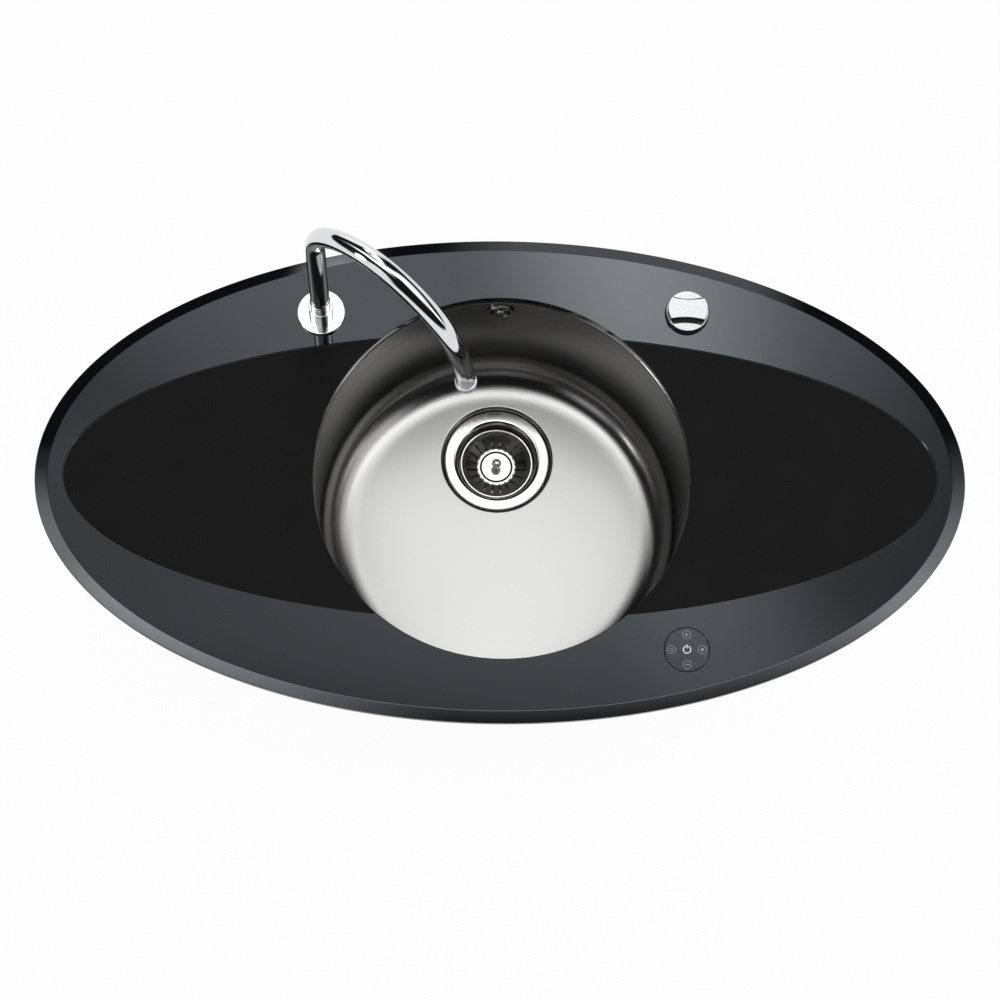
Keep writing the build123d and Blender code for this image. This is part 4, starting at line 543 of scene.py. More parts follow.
def zinc_plate(name, base):
    # Mild steel, pressed and zinc plated: pale grey with cloudy patches.
    material, shader, place = new_finish(name, base, Metallic=1.0)
    vary(shader, place, 14.0, 4.0, rough=(0.30, 0.48), shades=(0.82, 1.1))
    vary(shader, place, 2.5, relief_mm=0.02)
    return material


def moulded(name, base, low, high, grain_mm=1.2, depth_mm=0.015, gloss=0.5):
    # Injection moulded plastic or rubber: even colour, fine spark-eroded skin, drawn coarse enough to show.
    material, shader, place = new_finish(name, base, Metallic=0.0, IOR=1.49, Specular_IOR_Level=gloss)
    vary(shader, place, 40.0, rough=(low, high), shades=(0.93, 1.05))
    vary(shader, place, grain_mm, 3.0, relief_mm=depth_mm)
    return material


def machined_brass(name, base):
    # Brass bar, turned: warm metal with fine rings left by the tool.
    material, shader, place = new_finish(name, base, Metallic=1.0)
    vary(shader, place, 2.0, 2.0, (0.2, 0.2, 4.0), rough=(0.18, 0.32), relief_mm=0.01)
    return material


def printed_signs(name, base, power, x, y, height):
    # Screen-printed enamel: white in the middle, greyer signs round it, slightly raised gloss.
    material, shader, place = new_finish(name, base, Metallic=0.0, IOR=1.5, Roughness=0.25)
    tree = material.node_tree
    middle = (x * MM, y * MM, height * MM)
    away = add_node(tree, "ShaderNodeVectorMath", {0: place, 1: middle}, operation="DISTANCE")
    white = {"Value": away, "From Min": 7 * MM, "From Max": 8 * MM, "To Min": 1.0, "To Max": 0.0}
    mask = add_node(tree, "ShaderNodeMapRange", white)
    mix = {"Factor": mask, "A": (*base, 1.0), "B": (*power, 1.0)}
    feed(shader, {"Base Color": add_node(tree, "ShaderNodeMix", mix, data_type="RGBA")})
    return material


def make_finishes(context):
    c = context.scene.sink_colours
    s = in_mm(context)
    FINISHES.clear()
    FINISHES.update(
        glass=float_glass("float_glass_black_enamelled", c.glass),
        etched=etched_glass("etched_glass_black", c.etched),
        bowl=satin_steel("stainless_steel_brushed", c.bowl, c.bowl_wall_painted_shade),
        polished=polished_steel("stainless_steel_buffed", c.polished),
        pressed=pressed_steel("stainless_steel_pressed", c.pressed),
        chrome=chrome_plate("brass_chromed", c.chrome),
        satin=satin_chrome("brass_satin_chromed", c.chrome, 0.34, 0.42),
        knob=satin_chrome("zinc_satin_chromed", c.knob, 0.20, 0.26),
        zinc=zinc_plate("steel_zinc_plated", c.zinc),
        rubber=moulded("epdm_rubber_moulded", c.rubber, 0.55, 0.75, 1.5, 0.03),
        white=moulded("polypropylene_white_moulded", c.white_plastic, 0.38, 0.50),
        grey=moulded("polypropylene_grey_extruded", c.grey_plastic, 0.35, 0.45),
        black=moulded("nylon_black_moulded", c.black_plastic, 0.42, 0.58, gloss=0.2),
        bond=moulded("silicone_cured", c.bond, 0.35, 0.50, 4.0, 0.05),
        brass=machined_brass("brass_turned", c.brass),
        signs=printed_signs("enamel_screen_printed", c.signs, c.power, s.pad_x, s.pad_y, s.glass_top),
    )


# Pieces

class SINK_OT_finishes(bpy.types.Operator):
    """Makes every finish"""

    bl_idname = "sink.finishes"
    bl_label = "Finishes"

    def execute(self, context):
        make_finishes(context)
        return {"FINISHED"}


class SINK_OT_glass(bpy.types.Operator):
    """Builds the oval glass top with its bevel, sunken drainer and holes"""

    bl_idname = "sink.glass"
    bl_label = "Glass top"

    def execute(self, context):
        s = in_mm(context)
        low, top = s.glass_bottom, s.glass_top
        edge = top - s.bevel_drop
        arris, over = 0.4, 0.5

        def oval(outside, z):
            return ellipse(s.glass_half_length + outside, s.glass_half_width + outside, z)

        def bevel(outside, z):
            half_x = s.glass_half_length - s.bevel_ends + outside
            return ellipse(half_x, s.glass_half_width - s.bevel_sides + outside, z)

        def sunk(outside, z):
            return ellipse(s.drainer_half_length + outside, s.drainer_half_width + outside, z)

        rings = [oval(-arris, low), oval(0.0, low + arris), oval(0.0, edge - 0.3)]
        rings += [oval(-0.15, edge - 0.08), oval(-0.8, edge + 0.12)]
        rings += [bevel(0.6, top - 0.10), bevel(0.1, top - 0.015), bevel(-0.4, top)]
        glass = add_object("glass_plate", skin(rings), "glass", "etched")
        floor = top - s.drainer_depth
        drainer = [sunk(-0.5, floor), sunk(-0.15, floor + 0.15), sunk(0.0, floor + 0.5)]
        drainer += [sunk(0.0, top - 0.25), sunk(0.75, top + over)]
        r = s.opening_radius
        opening = [(r + 1, low - 1), (r, low + arris), (r, top - over), (r + 1.0, top + over)]
        cutters = [skin(drainer), skin(turned(opening, count=2 * AROUND))]
        shank_hole, pad_gap, chamfer = 17.5, 0.35, 0.8
        holes = (
            (s.tap_x, s.tap_y, shank_hole),
            (s.knob_x, s.knob_y, shank_hole),
            (s.pad_x, s.pad_y, s.pad_radius + pad_gap),
        )
        for x, y, radius in holes:
            hole = [(radius, low - 1), (radius, top - chamfer + over), (radius + chamfer, top + over)]
            cutters.append(skin(turned(hole, x, y, 128)))
        carve(glass, cutters)
        for face in glass.data.polygons:
            flat = face.normal.z > 0.9 and abs(face.center.z / MM - floor) < 0.05
            face.material_index = 1 if flat else 0
        fit(glass, "sink", "black_glass", "glass_top")
        return {"FINISHED"}


class SINK_OT_bowl(bpy.types.Operator):
    """Builds the drawn steel bowl with its waste recess and overflow hole"""

    bl_idname = "sink.bowl"
    bl_label = "Bowl"

    def execute(self, context):
        s = in_mm(context)
        sheet, flange, lip, floor = 1.0, 212.0, 3.0, s.bowl_floor
        top = s.glass_bottom - 1.0
        rim, recess_foot, hole = s.recess_radius + 1.7, 57.6, 45.4
        recess = floor - s.recess_depth
        flat = s.bowl_foot_radius - s.bowl_round
        slope = (s.bowl_top_radius - s.bowl_foot_radius) / (top - floor)
        steps = 8

        def shell(out):
            """Rings of the bowl's face that lies outside its inner one by a distance."""
            curve = eased_round(flat, floor - out, s.bowl_foot_radius + out, slope)
            wall = [(flange, top - out), (s.bowl_top_radius + out, top - out), curve[-1]]
            line = rounded(wall, {1: lip - out}) + curve[-2::-1]
            rings = turned(line, count=2 * AROUND)
            for k in range(1, steps):
                f = k / steps
                rings.append(circle(flat + (rim - flat) * f, floor - out, 0.0, s.waste_y * f, 2 * AROUND))
            sink = [
                (rim, floor - out),
                (s.recess_radius + out, floor - out),
                (recess_foot + out, recess - out),
                (hole, recess - out),
            ]
            line = rounded(sink, {1: 2.2 - out * 0.8, 2: 1.2 + out * 0.4})
            return rings + turned(line, 0.0, s.waste_y, 2 * AROUND)

        rings = shell(0.0) + shell(sheet)[::-1]
        bowl = add_object("bowl_shell", skin(rings, closed=True), "bowl")
        wall, tunnel = s.overflow_wall, arc(12.0, 0.0, 2 * pi, 96)[:-1]
        bore = [[(x, y, z + s.overflow_level) for x, z in tunnel] for y in (wall - 20, wall + 20)]
        carve(bowl, [skin(bore)])
        fit(bowl, "sink", "bowl_steel", "bowl")
        return {"FINISHED"}


class SINK_OT_waste(bpy.types.Operator):
    """Builds the waste flange with its cup, and dresses the body below and the lift"""

    bl_idname = "sink.waste"
    bl_label = "Waste"

    def execute(self, context):
        s = in_mm(context)
        under = s.bowl_floor - s.recess_depth + 1.0
        top = under + 1.3
        edge, cup, cup_outside, shelf_hole = 56.8, 42.0, 43.6, 21.0
        shelf, shelf_under, foot = -217.1, -218.6, -229.0
        section = [
            (edge, under), (edge, top), (cup, top), (cup, shelf), (shelf_hole, shelf),
            (shelf_hole, shelf_under), (cup, shelf_under), (cup, foot), (cup_outside, foot),
            (cup_outside, under),
        ]
        radii = {1: 1.0, 2: 5.6, 3: 0.6, 4: 0.3, 5: 0.3, 6: 0.3, 7: 0.3, 8: 0.3, 9: 4.0}
        flange = spun(section, radii, 0.0, s.waste_y)
        piece = add_object("waste_flange_cup", flange, "polished", "pressed")
        # The inside of the cup gets the darker pressed finish: painted shade.
        paint_shade_ring(piece, s, shelf_hole - 1.0, cup + 0.8)
        fit(piece, "sink", "waste_steel", "waste_flange")
        dress("zinc", "basket_stem_nut", "lift_pin", "lift_crank", "crank_arm", "crank_clip")
        dress("rubber", "basket_seal", "flange_seal", "waste_gasket")
        dress("white", "waste_locknut", "waste_body")
        dress("black", "cable_bracket")
        return {"FINISHED"}


class SINK_OT_basket(bpy.types.Operator):
    """Builds the strainer basket: slotted dish, notched disc and ball pull"""

    bl_idname = "sink.basket"
    bl_label = "Basket"

    def execute(self, context):
        s = in_mm(context)
        rim, floor, sheet, slots = s.basket_rim, s.basket_rim - 13.6, 1.0, 20
        hole, foot, shoulder, mouth, lip = 3.05, 21.2, 34.6, 37.7, 39.7
        section = [
            (hole, floor), (foot, floor), (shoulder, rim - 4.5), (mouth, rim - 0.5), (mouth + 0.4, rim),
            (lip - 0.4, rim), (lip, rim - 0.4), (lip, rim - 2.0), (mouth + sheet, rim - 2.0),
            (shoulder + sheet, rim - 5.5), (foot + 0.5, floor - sheet), (hole, floor - sheet),
        ]
        radii = {1: 2.5, 2: 2.0, 4: 0.3, 5: 0.3, 8: 0.3, 9: 2.5, 10: 2.5}
        dish = add_object("basket_dish", spun(section, radii, 0.0, s.waste_y), "polished", "pressed")
        turns = [2 * pi * (k + 0.5) / slots for k in range(slots)]
        slot_near, slot_far, slot_half = 22.4, 33.6, 1.3
        outlines = [slot_outline(slot_near, slot_far, slot_half, a, 0.0, s.waste_y) for a in turns]
        carve(dish, [gathered(prism(outline, floor - 3.0, rim) for outline in outlines)])
        # The dish below its rim gets the darker pressed finish as painted shade, the rim stays bright.
        paint_shade_ring(dish, s, 0.0, mouth - 0.2)
        fit(dish, "basket_body", "waste_steel", "basket")

        top, stem = floor + 1.6, 2.4
        bore, groove, groove_near, groove_far = stem + 0.05, top - 0.8, 16.0, 18.1
        section = [
            (bore, floor), (foot, floor), (foot, top), (groove_far, top), (groove_far - 0.2, groove),
            (groove_near + 0.2, groove), (groove_near, top), (bore, top),
        ]
        radii = {2: 0.4, 3: 0.2, 4: 0.2, 5: 0.2, 6: 0.2}
        disc = add_object("basket_top_disc", spun(section, radii, 0.0, s.waste_y), "polished", "black")
        notch = [(1.6, floor - 1), (1.6, top + 1)]
        cuts = [skin(turned(notch, foot * cos(a), s.waste_y + foot * sin(a), 32)) for a in turns]
        carve(disc, [gathered(cuts)])
        # The groove is painted black: painted shade in the recess.
        paint_shade_ring(disc, s, groove_near, groove_far)
        fit(disc, "basket_body", "waste_steel", "basket_disc")

        ball, radius, nut_face = top + 11.8, 5.4, floor - 6.0
        low = ball - sqrt(radius**2 - stem**2)
        profile = [(0.0, nut_face), (3.0, nut_face), (3.0, floor), (stem, floor), (stem, low - 1.2)]
        profile.append((stem + 0.15, low - 0.45))
        start = acos((ball - low) / radius)
        profile += arc(radius, start - pi / 2, pi - start, 32, 0.0, ball)[1:]
        pull = add_object("ball_pull", skin(turned(profile, 0.0, s.waste_y, 96)), "satin")
        fit(pull, "basket_body", "waste_steel", "basket_pull")
        return {"FINISHED"}


class SINK_OT_overflow(bpy.types.Operator):
    """Builds the overflow's grille with its screw, and dresses the elbow, pipe and nuts"""

    bl_idname = "sink.overflow"
    bl_label = "Overflow"

    def execute(self, context):
        s = in_mm(context)
        wall, level = s.overflow_wall, s.overflow_level

        def facing(rings):
            """Lays rings drawn about an upright axis on the rear wall, facing the bowl's middle."""
            return [[(x, wall - z, level + y) for x, y, z in ring] for ring in rings]

        def laid_on_wall(piece):
            """Draws the back of the grille in to the round wall."""
            limit = (wall - 0.28) * MM
            for vertex in piece.data.vertices:
                at = vertex.co
                if hypot(at.x, at.y) > limit:
                    at.y = sqrt(limit**2 - at.x**2)

        back, front = 0.3, 2.0
        inside, outside, crown = 10.6, 14.3, 3.4
        foot = -3.0
        ring = [(inside, foot), (inside, front), (11.8, crown), (13.3, crown)]
        ring += [(outside, front), (outside, foot)]
        line = rounded(ring, {1: 0.4, 2: 0.4, 3: 1.2, 4: 0.6}, closed=True)
        shapes = [("grille_ring", skin(facing(turned(line, count=128)), closed=True))]
        hub = rounded([(0.0, back), (4.6, back), (4.6, front), (0.0, front)], {2: 0.4})
        shapes.append(("grille_hub", skin(facing(turned(hub, count=64)))))
        half = 1.3
        across = [(-half, back), (half, back), (half, front), (-half, front)]
        across = rounded(across, {2: 0.5, 3: 0.5}, closed=True)
        for name, a in (("grille_bar_a", pi / 4), ("grille_bar_b", -pi / 4)):
            rings = []
            for u in (-12.0, -4.0, 4.0, 12.0):
                rings.append([(u * cos(a) - v * sin(a), u * sin(a) + v * cos(a), z) for v, z in across])
            shapes.append((name, skin(facing(rings))))
        for name, bm in shapes:
            # The grille gets the darker pressed colour: painted shade.
            piece = add_object(name, bm, "pressed")
            laid_on_wall(piece)
            fit(piece, "sink", "chrome", "overflow_rosette")

        tip, shank, radius, face = -20.0, 2.5, 4.0, 3.6
        head = [(0.0, tip), (shank, tip), (shank, front), (radius, front), (radius, face), (0.0, face)]
        head = rounded(head, {1: 0.6, 3: 0.2, 4: 0.9})
        piece = add_object("grille_screw", skin(facing(turned(head, count=64))), "chrome")
        slot = ((-6, -0.5), (6, -0.5), (6, 0.5), (-6, 0.5))
        carve(piece, [skin(facing([[(x, y, z) for x, y in slot] for z in (face - 0.8, face + 1)]))])
        fit(piece, "sink", "chrome", "overflow_screw")
        dress("rubber", "overflow_seal")
        dress("white", "overflow_elbow", "union_nuts")
        dress("grey", "overflow_pipe")
        return {"FINISHED"}


# Radius and turn of each bend of the spout, and the step in them, in degrees
SPOUT_BENDS = ((79.0, 112.0), (117.0, 44.0), (195.0, 20.0))
SPOUT_STEP = 1.5
# Heading of the spout at rest, from the right
SPOUT_HEADING = radians(-38.0)


def spout_line(s):
    """Centre line of the spout in its own upright plane: (out, up) points with their headings."""
    foot, top = s.glass_top + 42.0, s.glass_top + s.spout_riser
    points = [(0.0, foot + (top - foot) * k / 12, pi / 2) for k in range(13)]
    for radius, turn in SPOUT_BENDS:
        x, z, heading = points[-1]
        cx = x + radius * sin(heading)
        cz = z - radius * cos(heading)
        steps = int(turn / SPOUT_STEP)
        for k in range(1, steps + 1):
            now = heading - radians(turn) * k / steps
            points.append((cx - radius * sin(now), cz + radius * cos(now), now))
    x, z, heading = points[-1]
    points.append((x + 4.0 * cos(heading), z + 4.0 * sin(heading), heading))
    return points


def spout_ring(s, point, radius, count=96, beside=(0.0, 0.0)):
    """A ring round the spout's centre line, or beside it."""
    out, up, heading = point
    along = Vector((cos(SPOUT_HEADING), sin(SPOUT_HEADING), 0.0))
    across = Vector((-sin(SPOUT_HEADING), cos(SPOUT_HEADING), 0.0))
    centre = Vector((s.tap_x, s.tap_y, 0.0)) + along * out + Vector((0.0, 0.0, up))
    side = -sin(heading) * along + cos(heading) * Vector((0.0, 0.0, 1.0))
    centre = centre + across * beside[0] + side * beside[1]
    if radius < 1e-6:
        return [centre]
    turns = [2 * pi * i / count for i in range(count)]
    return [centre + (across * cos(turn) + side * sin(turn)) * radius for turn in turns]


def outlet_rings(s, profile, count=96, beside=(0.0, 0.0)):
    """Rings turned about the spout's outlet. The profile is (radius, distance past the tube's end)."""
    out, up, heading = spout_line(s)[-1]
    rings = []
    for radius, past in profile:
        point = (out + past * cos(heading), up + past * sin(heading), heading)
        rings.append(spout_ring(s, point, radius, count, beside))
    return rings


class SINK_OT_tap(bpy.types.Operator):
    """Builds the tap's flange, body, swivel, swan neck and outlet, and its nuts and inlet"""

    bl_idname = "sink.tap"
    bl_label = "Tap"

    def execute(self, context):
        s = in_mm(context)
        top, axis = s.glass_top, (s.tap_x, s.tap_y)
        bore, step, edge = 11.7, 22.6, 24.8
        flange = [(bore, top + 1), (step, top + 1), (step, top)]
        flange += [(edge, top), (edge, top + 4), (bore, top + 4)]
        piece = add_object("tap_base_ring", spun(flange, {3: 0.3, 4: 0.9}, *axis), "chrome")
        fit(piece, "sink", "chrome", "tap_flange")

        foot, rim = top - 52, top + 20
        duct, shank, depth, outside, socket = 6.0, 11.5, 0.6, 12.75, 8.05
        turns = thread(shank, foot + 0.8, top - 13.0, 1.5, depth)
        body = [
            (duct, foot), (shank - depth, foot), *turns, (shank, top - 12.4), (shank, top + 4),
            (outside, top + 4), (outside, rim), (socket, rim), (socket, top - 5), (duct, top - 5),
        ]
        last = len(body)
        body_radii = {last - 5: 0.3, last - 4: 0.9, last - 3: 0.3}
        piece = add_object("tap_body_turned", spun(body, body_radii, *axis), "chrome")
        hollow = arc(2.05, 0.0, 2 * pi, 48)[:-1]
        grub = [[(s.tap_x + x, s.tap_y + y, top + 7.5 + z) for x, z in hollow] for y in (0.0, 14.0)]
        carve(piece, [skin(grub)])
        fit(piece, "sink", "chrome", "tap_body")

        low, neck = rim + 0.3, top + 42
        duct, stem, seal_seat, grub_seat, spigot, collar, groove = 4.5, 8.0, 6.1, 7.05, 7.95, 10.6, 9.8
        swivel = [
            (duct, rim - 24), (stem, rim - 24), (stem, rim - 20.9), (seal_seat, rim - 20.9),
            (seal_seat, rim - 19.1), (stem, rim - 19.1), (stem, top + 5), (grub_seat, top + 5),
            (grub_seat, top + 10), (stem, top + 10), (stem, rim - 6.1), (seal_seat, rim - 6.1),
            (seal_seat, rim - 3.9), (stem, rim - 3.9), (stem, low), (collar, low),
        ]
        radii = {len(swivel) - 1: 0.4}
        for up in (6.0, 13.0):
            radii[len(swivel)] = radii[len(swivel) + 2] = 0.3
            swivel += [(collar, low + up), (groove, low + up + 0.8), (collar, low + up + 1.6)]
        radii[len(swivel)] = 0.5
        swivel += [(collar, neck - 2), (10.0, neck), (spigot, neck), (spigot, neck + 8), (duct, neck + 8)]
        piece = add_object("swivel_ring_neck", spun(swivel, radii, *axis), "chrome")
        fit(piece, "spout_arm", "chrome", "swivel_collar")

        path = spout_line(s)
        outer = [spout_ring(s, p, s.spout_radius) for p in path]
        inner = [spout_ring(s, p, s.spout_bore) for p in path]
        piece = add_object("swan_neck_tube", skin(outer + inner[::-1], closed=True), "chrome")
        fit(piece, "spout_arm", "chrome", "spout")

        ring_r, socket, mouth = 11.0, 8.65, 7.2
        ring = [
            (spigot, -4.0), (spigot, 0.0), (ring_r, 0.0), (ring_r, 8.0), (socket, 8.0), (socket, 2.0),
            (mouth, 2.0), (mouth, -4.0),
        ]
        line = rounded(ring, {2: 0.5, 3: 1.0}, closed=True)
        piece = add_object("outlet_ring", skin(outlet_rings(s, line), closed=True), "satin")
        fit(piece, "spout_arm", "chrome", "aerator_collar")
        insert_r, insert_end = 8.6, 14.5
        insert = [(mouth, 2.05), (insert_r, 2.05), (insert_r, insert_end), (mouth, insert_end)]
        line = rounded(insert, {2: 0.5, 3: 0.4}, closed=True)
        piece = add_object("outlet_insert", skin(outlet_rings(s, line), closed=True), "chrome")
        fit(piece, "spout_arm", "chrome", "aerator")
        plate_r, jet_r, near, far = 7.9, 0.7, 11.8, 13.3
        plate = [(0.0, near), (plate_r, near), (plate_r, far), (0.0, far)]
        piece = add_object("outlet_plate", skin(outlet_rings(s, plate)), "chrome")
        jet = [(jet_r, near - 0.8), (jet_r, far + 0.7)]
        cuts = []
        for away, count in ((0.0, 1), (2.6, 6), (5.2, 12)):
            for beside in arc(away, 0.0, 2 * pi, count)[:-1]:
                cuts.append(skin(outlet_rings(s, jet, 16, beside)))
        carve(piece, [gathered(cuts)])
        fit(piece, "spout_arm", "chrome", "aerator")
        dress("rubber", "spout_o_rings", "tap_seal", "tap_rubber_washer")
        dress("zinc", "tap_grub_screw", "tap_steel_washer")

        nut = hex_nut("shank_nut", 34.0, top - 23.0, top - 15.0, bore, *axis, "brass")
        fit(nut, "sink", "brass", "tap_locknut")
        low, flange, end = foot - 16.0, foot - 4.0, foot + 10
        collar = hex_nut("inlet_collar", 21.0, flange, foot, 6.9, *axis, "brass")
        fit(collar, "sink", "brass", "tap_inlet")
        duct, spigot, neck, tip, outside = 5.0, 5.95, 7.0, 7.6, 8.3
        turns = thread(outside, low + 0.7, flange - 0.8, 1.34, depth)
        inlet = [
            (duct, low), (tip, low), *turns, (neck, flange), (neck, foot), (spigot, foot), (spigot, end),
            (duct, end),
        ]
        piece = add_object("inlet_thread", spun(inlet, {}, *axis), "brass")
        fit(piece, "sink", "brass", "tap_inlet")
        return {"FINISHED"}


def bar_outline(end_r, waist, shoulder, steps=24):
    """The grip bar seen from above: round ends, and long edges that curve in to the waist."""
    half = sqrt(end_r**2 - shoulder**2)
    rise = shoulder - waist
    curve = (half**2 + rise**2) / (2 * rise)
    rear = []
    for k in range(2 * steps + 1):
        x = half - half * k / steps
        rear.append((x, waist + curve - sqrt(curve**2 - x**2)))
    start = acos(-half / end_r)
    side = rear + arc(end_r, start, 2 * pi - 2 * start, 2 * steps)[1:-1]
    return side + [(-x, -y) for x, y in side]


class SINK_OT_knob(bpy.types.Operator):
    """Builds the turn knob with its grip bar and its skirt, and dresses the drum and its housing"""

    bl_idname = "sink.knob"
    bl_label = "Turn knob"

    def execute(self, context):
        s = in_mm(context)
        top, axis = s.glass_top, (s.knob_x, s.knob_y)
        turn = radians(-2.0)

        def bar(end_r, waist, shoulder, z):
            """The grip bar's outline at one height, turned on the knob's axis."""
            points = bar_outline(end_r, waist, shoulder)
            points = [(x * cos(turn) - y * sin(turn), x * sin(turn) + y * cos(turn)) for x, y in points]
            return [(s.knob_x + x, s.knob_y + y, z) for x, y in points]

        foot, disc_top, bar_top = top + 3.3, top + 7.0, top + 14.5
        bore, radius = 4.05, 22.2
        disc = [(bore, foot), (radius, foot), (radius, disc_top), (bore, disc_top)]
        piece = add_object("knob_disc", spun(disc, {1: 0.4, 2: 0.6}, *axis), "knob")
        fit(piece, "knob", "chrome", "knob_grip")

        end_r, waist, shoulder, edge = 20.9, 10.0, 11.9, 0.6
        flare_end, flare = 0.3, 2.6
        foot_size = (end_r + flare_end, waist + flare, shoulder + flare)
        rings = [bar(*foot_size, disc_top - 0.3), bar(*foot_size, disc_top)]
        side = bar_top - edge - disc_top
        for k in range(1, 9):
            f = k / 8
            ease = (1 - f) ** 1.6
            sizes = (end_r + flare_end * ease, waist + flare * ease, shoulder + flare * ease)
            rings.append(bar(*sizes, disc_top + side * f))
        for k in range(1, 6):
            a = pi / 2 * k / 5
            inset = edge * (1 - cos(a))
            rings.append(bar(end_r - inset, waist - inset, shoulder - inset, bar_top - edge + edge * sin(a)))
        # A thin black band round the foot of the grip bar is painted shade where the bar meets the disc.
        foot_shade = skin([bar(21.15, 13.5, 15.4, disc_top + z) for z in (-0.3, 0.06)])
        fit(add_object("knob_foot_painted_shade", foot_shade, "black"), "knob", "chrome", "knob_grip")
        piece = add_object("knob_bar", skin(rings), "knob")
        carve(piece, [skin(turned([(bore, disc_top - 1), (bore, foot + 7.0)], *axis, 96))])
        fit(piece, "knob", "chrome", "knob_grip")

        inside, outside, high = 19.7, 23.1, top + 3.0
        skirt = [(inside, top), (outside, top), (outside, high), (inside, high)]
        piece = add_object("knob_skirt_ring", spun(skirt, {2: 0.8, 3: 0.3}, *axis), "black")
        fit(piece, "sink", "black_plastic", "knob_skirt")
        dress("zinc", "knob_grub_screw", "control_shaft", "drum_screws")
        dress("black", "control_bush", "control_locknut", "cable_drum", "drum_housing", "drum_cover")
        dress("rubber", "control_washer")
        return {"FINISHED"}


class SINK_OT_pad(bpy.types.Operator):
    """Builds the touch pad and its signs, and dresses the bonds and the sensor box"""

    bl_idname = "sink.pad"
    bl_label = "Touch pad"

    def execute(self, context):
        s = in_mm(context)
        x, y, top = s.pad_x, s.pad_y, s.glass_top
        print_height, thickness = 0.02, 6
        pad_top = top - print_height
        under, edge = top - thickness, s.pad_radius
        pad = rounded([(0.0, under), (edge, under), (edge, pad_top), (0.0, pad_top)], {1: 0.5, 2: 0.45})
        piece = add_object("touch_disc", skin(turned(pad, x, y)), "glass")
        fit(piece, "sink", "pad_glass", "touch_pad")

        low = top - 0.1
        pitch, radius, dot, stroke, thin = 15.4, 4.4, 1.6, 0.55, 0.45

        def hoop(outer, at_x, at_y):
            inner = outer - stroke
            ring = [(inner, low), (outer, low), (outer, top), (inner, top)]
            return spun(ring, {}, at_x, at_y, 96)

        def bar(near, far, half_wide, at_y, turn=0.0):
            return prism(slot_outline(near, far, half_wide, turn, x, at_y), low, top)

        signs = []
        for across, up in ((pitch, 0), (-pitch, 0), (0, pitch), (0, -pitch)):
            signs.append(hoop(radius, x + across, y + up))
        signs.append(skin(turned([(dot, low), (dot, top)], x + pitch, y, 64)))
        signs.append(hoop(dot, x - pitch, y))
        signs.append(bar(-2.2, 2.2, thin, y - pitch))
        signs.append(bar(-2.2, 2.2, thin, y + pitch))
        for near in (-2.2, thin):
            signs.append(bar(near, near + 1.75, thin, y + pitch, pi / 2))
        outer, width, gap = 4.2, 1.0, radians(25)
        middle, sweep = outer - width / 2, 2 * pi - 2 * gap
        beside, above = middle * sin(gap), y + middle * cos(gap)
        power = arc(outer, pi / 2 + gap, sweep, 60, x, y)
        power += arc(width / 2, pi / 2 - gap, pi, 8, x + beside, above)[1:-1]
        power += arc(outer - width, pi / 2 - gap, -sweep, 60, x, y)
        power += arc(width / 2, gap - pi / 2, pi, 8, x - beside, above)[1:-1]
        signs.append(prism(power, low, top))
        signs.append(bar(1.26, 5.2, width / 2, y, pi / 2))
        piece = add_object("touch_signs", gathered(signs), "signs")
        fit(piece, "sink", "white_ink", "touch_icons")
        dress("bond", "pad_bond", "bowl_bond")
        dress("black", "sensor_housing", "sensor_lid")
        return {"FINISHED"}


class SINK_OT_fixings(bpy.types.Operator):
    """Dresses the seal, underframe, clamps and worktop fixings"""

    bl_idname = "sink.fixings"
    bl_label = "Frame and fixings"

    def execute(self, context):
        dress("rubber", "seal_strip")
        dress("zinc", "underframe", "bowl_clamps", "clamp_nuts")
        dress("zinc", "fixing_brackets", "fixing_screws", "fixing_arms")
        return {"FINISHED"}


# Soft boxes of the studio, as glass and metal see them. Each has its middle (the rightward and
# rearward parts of its direction), its half sizes there, its turn in radians, how far its edge
# fades, and its strength.
SOFT_BOXES = (
    ((-0.379, 0.028), (0.350, 0.085), -0.87, 1.00, 3.80),
    ((0.415, 0.069), (0.225, 0.151), -0.30, 0.91, 2.41),
    ((-0.106, 0.676), (0.034, 0.063), 0.0, 0.60, 6.5),
    ((0.131, 0.660), (0.131, 0.284), -0.05, 0.30, 1.53),
    ((0.071, 0.394), (0.032, 0.110), 0.27, 1.00, 2.51),
    ((0.002, 0.403), (0.169, 0.105), -0.38, 0.59, 2.17),
    ((-0.112, 0.286), (0.319, 0.038), -0.21, 0.54, 0.94),
    ((-0.10, 1.02), (0.80, 0.20), 0.0, 0.25, 1.20),
    ((0.66, -0.02), (0.24, 0.42), 0.0, 0.30, 1.40),
    ((-0.70, -0.66), (0.20, 0.24), 0.75, 0.35, 1.00),
    ((0.0, 0.215), (0.12, 0.06), 0.0, 0.60, 0.20),
    ((0.02, -0.03), (0.40, 0.13), 0.0, 0.50, 4.20),
    ((-0.86, -0.34), (0.05, 0.10), 0.0, 0.50, 16.00),
    ((0.88, -0.31), (0.05, 0.10), 0.0, 0.50, 4.00),
)
# A soft box's half size upwards, so large that only its plan counts
TALL = 1000.0
HORIZON_LIGHT = 1.0
SKY_LIGHT = 0.01


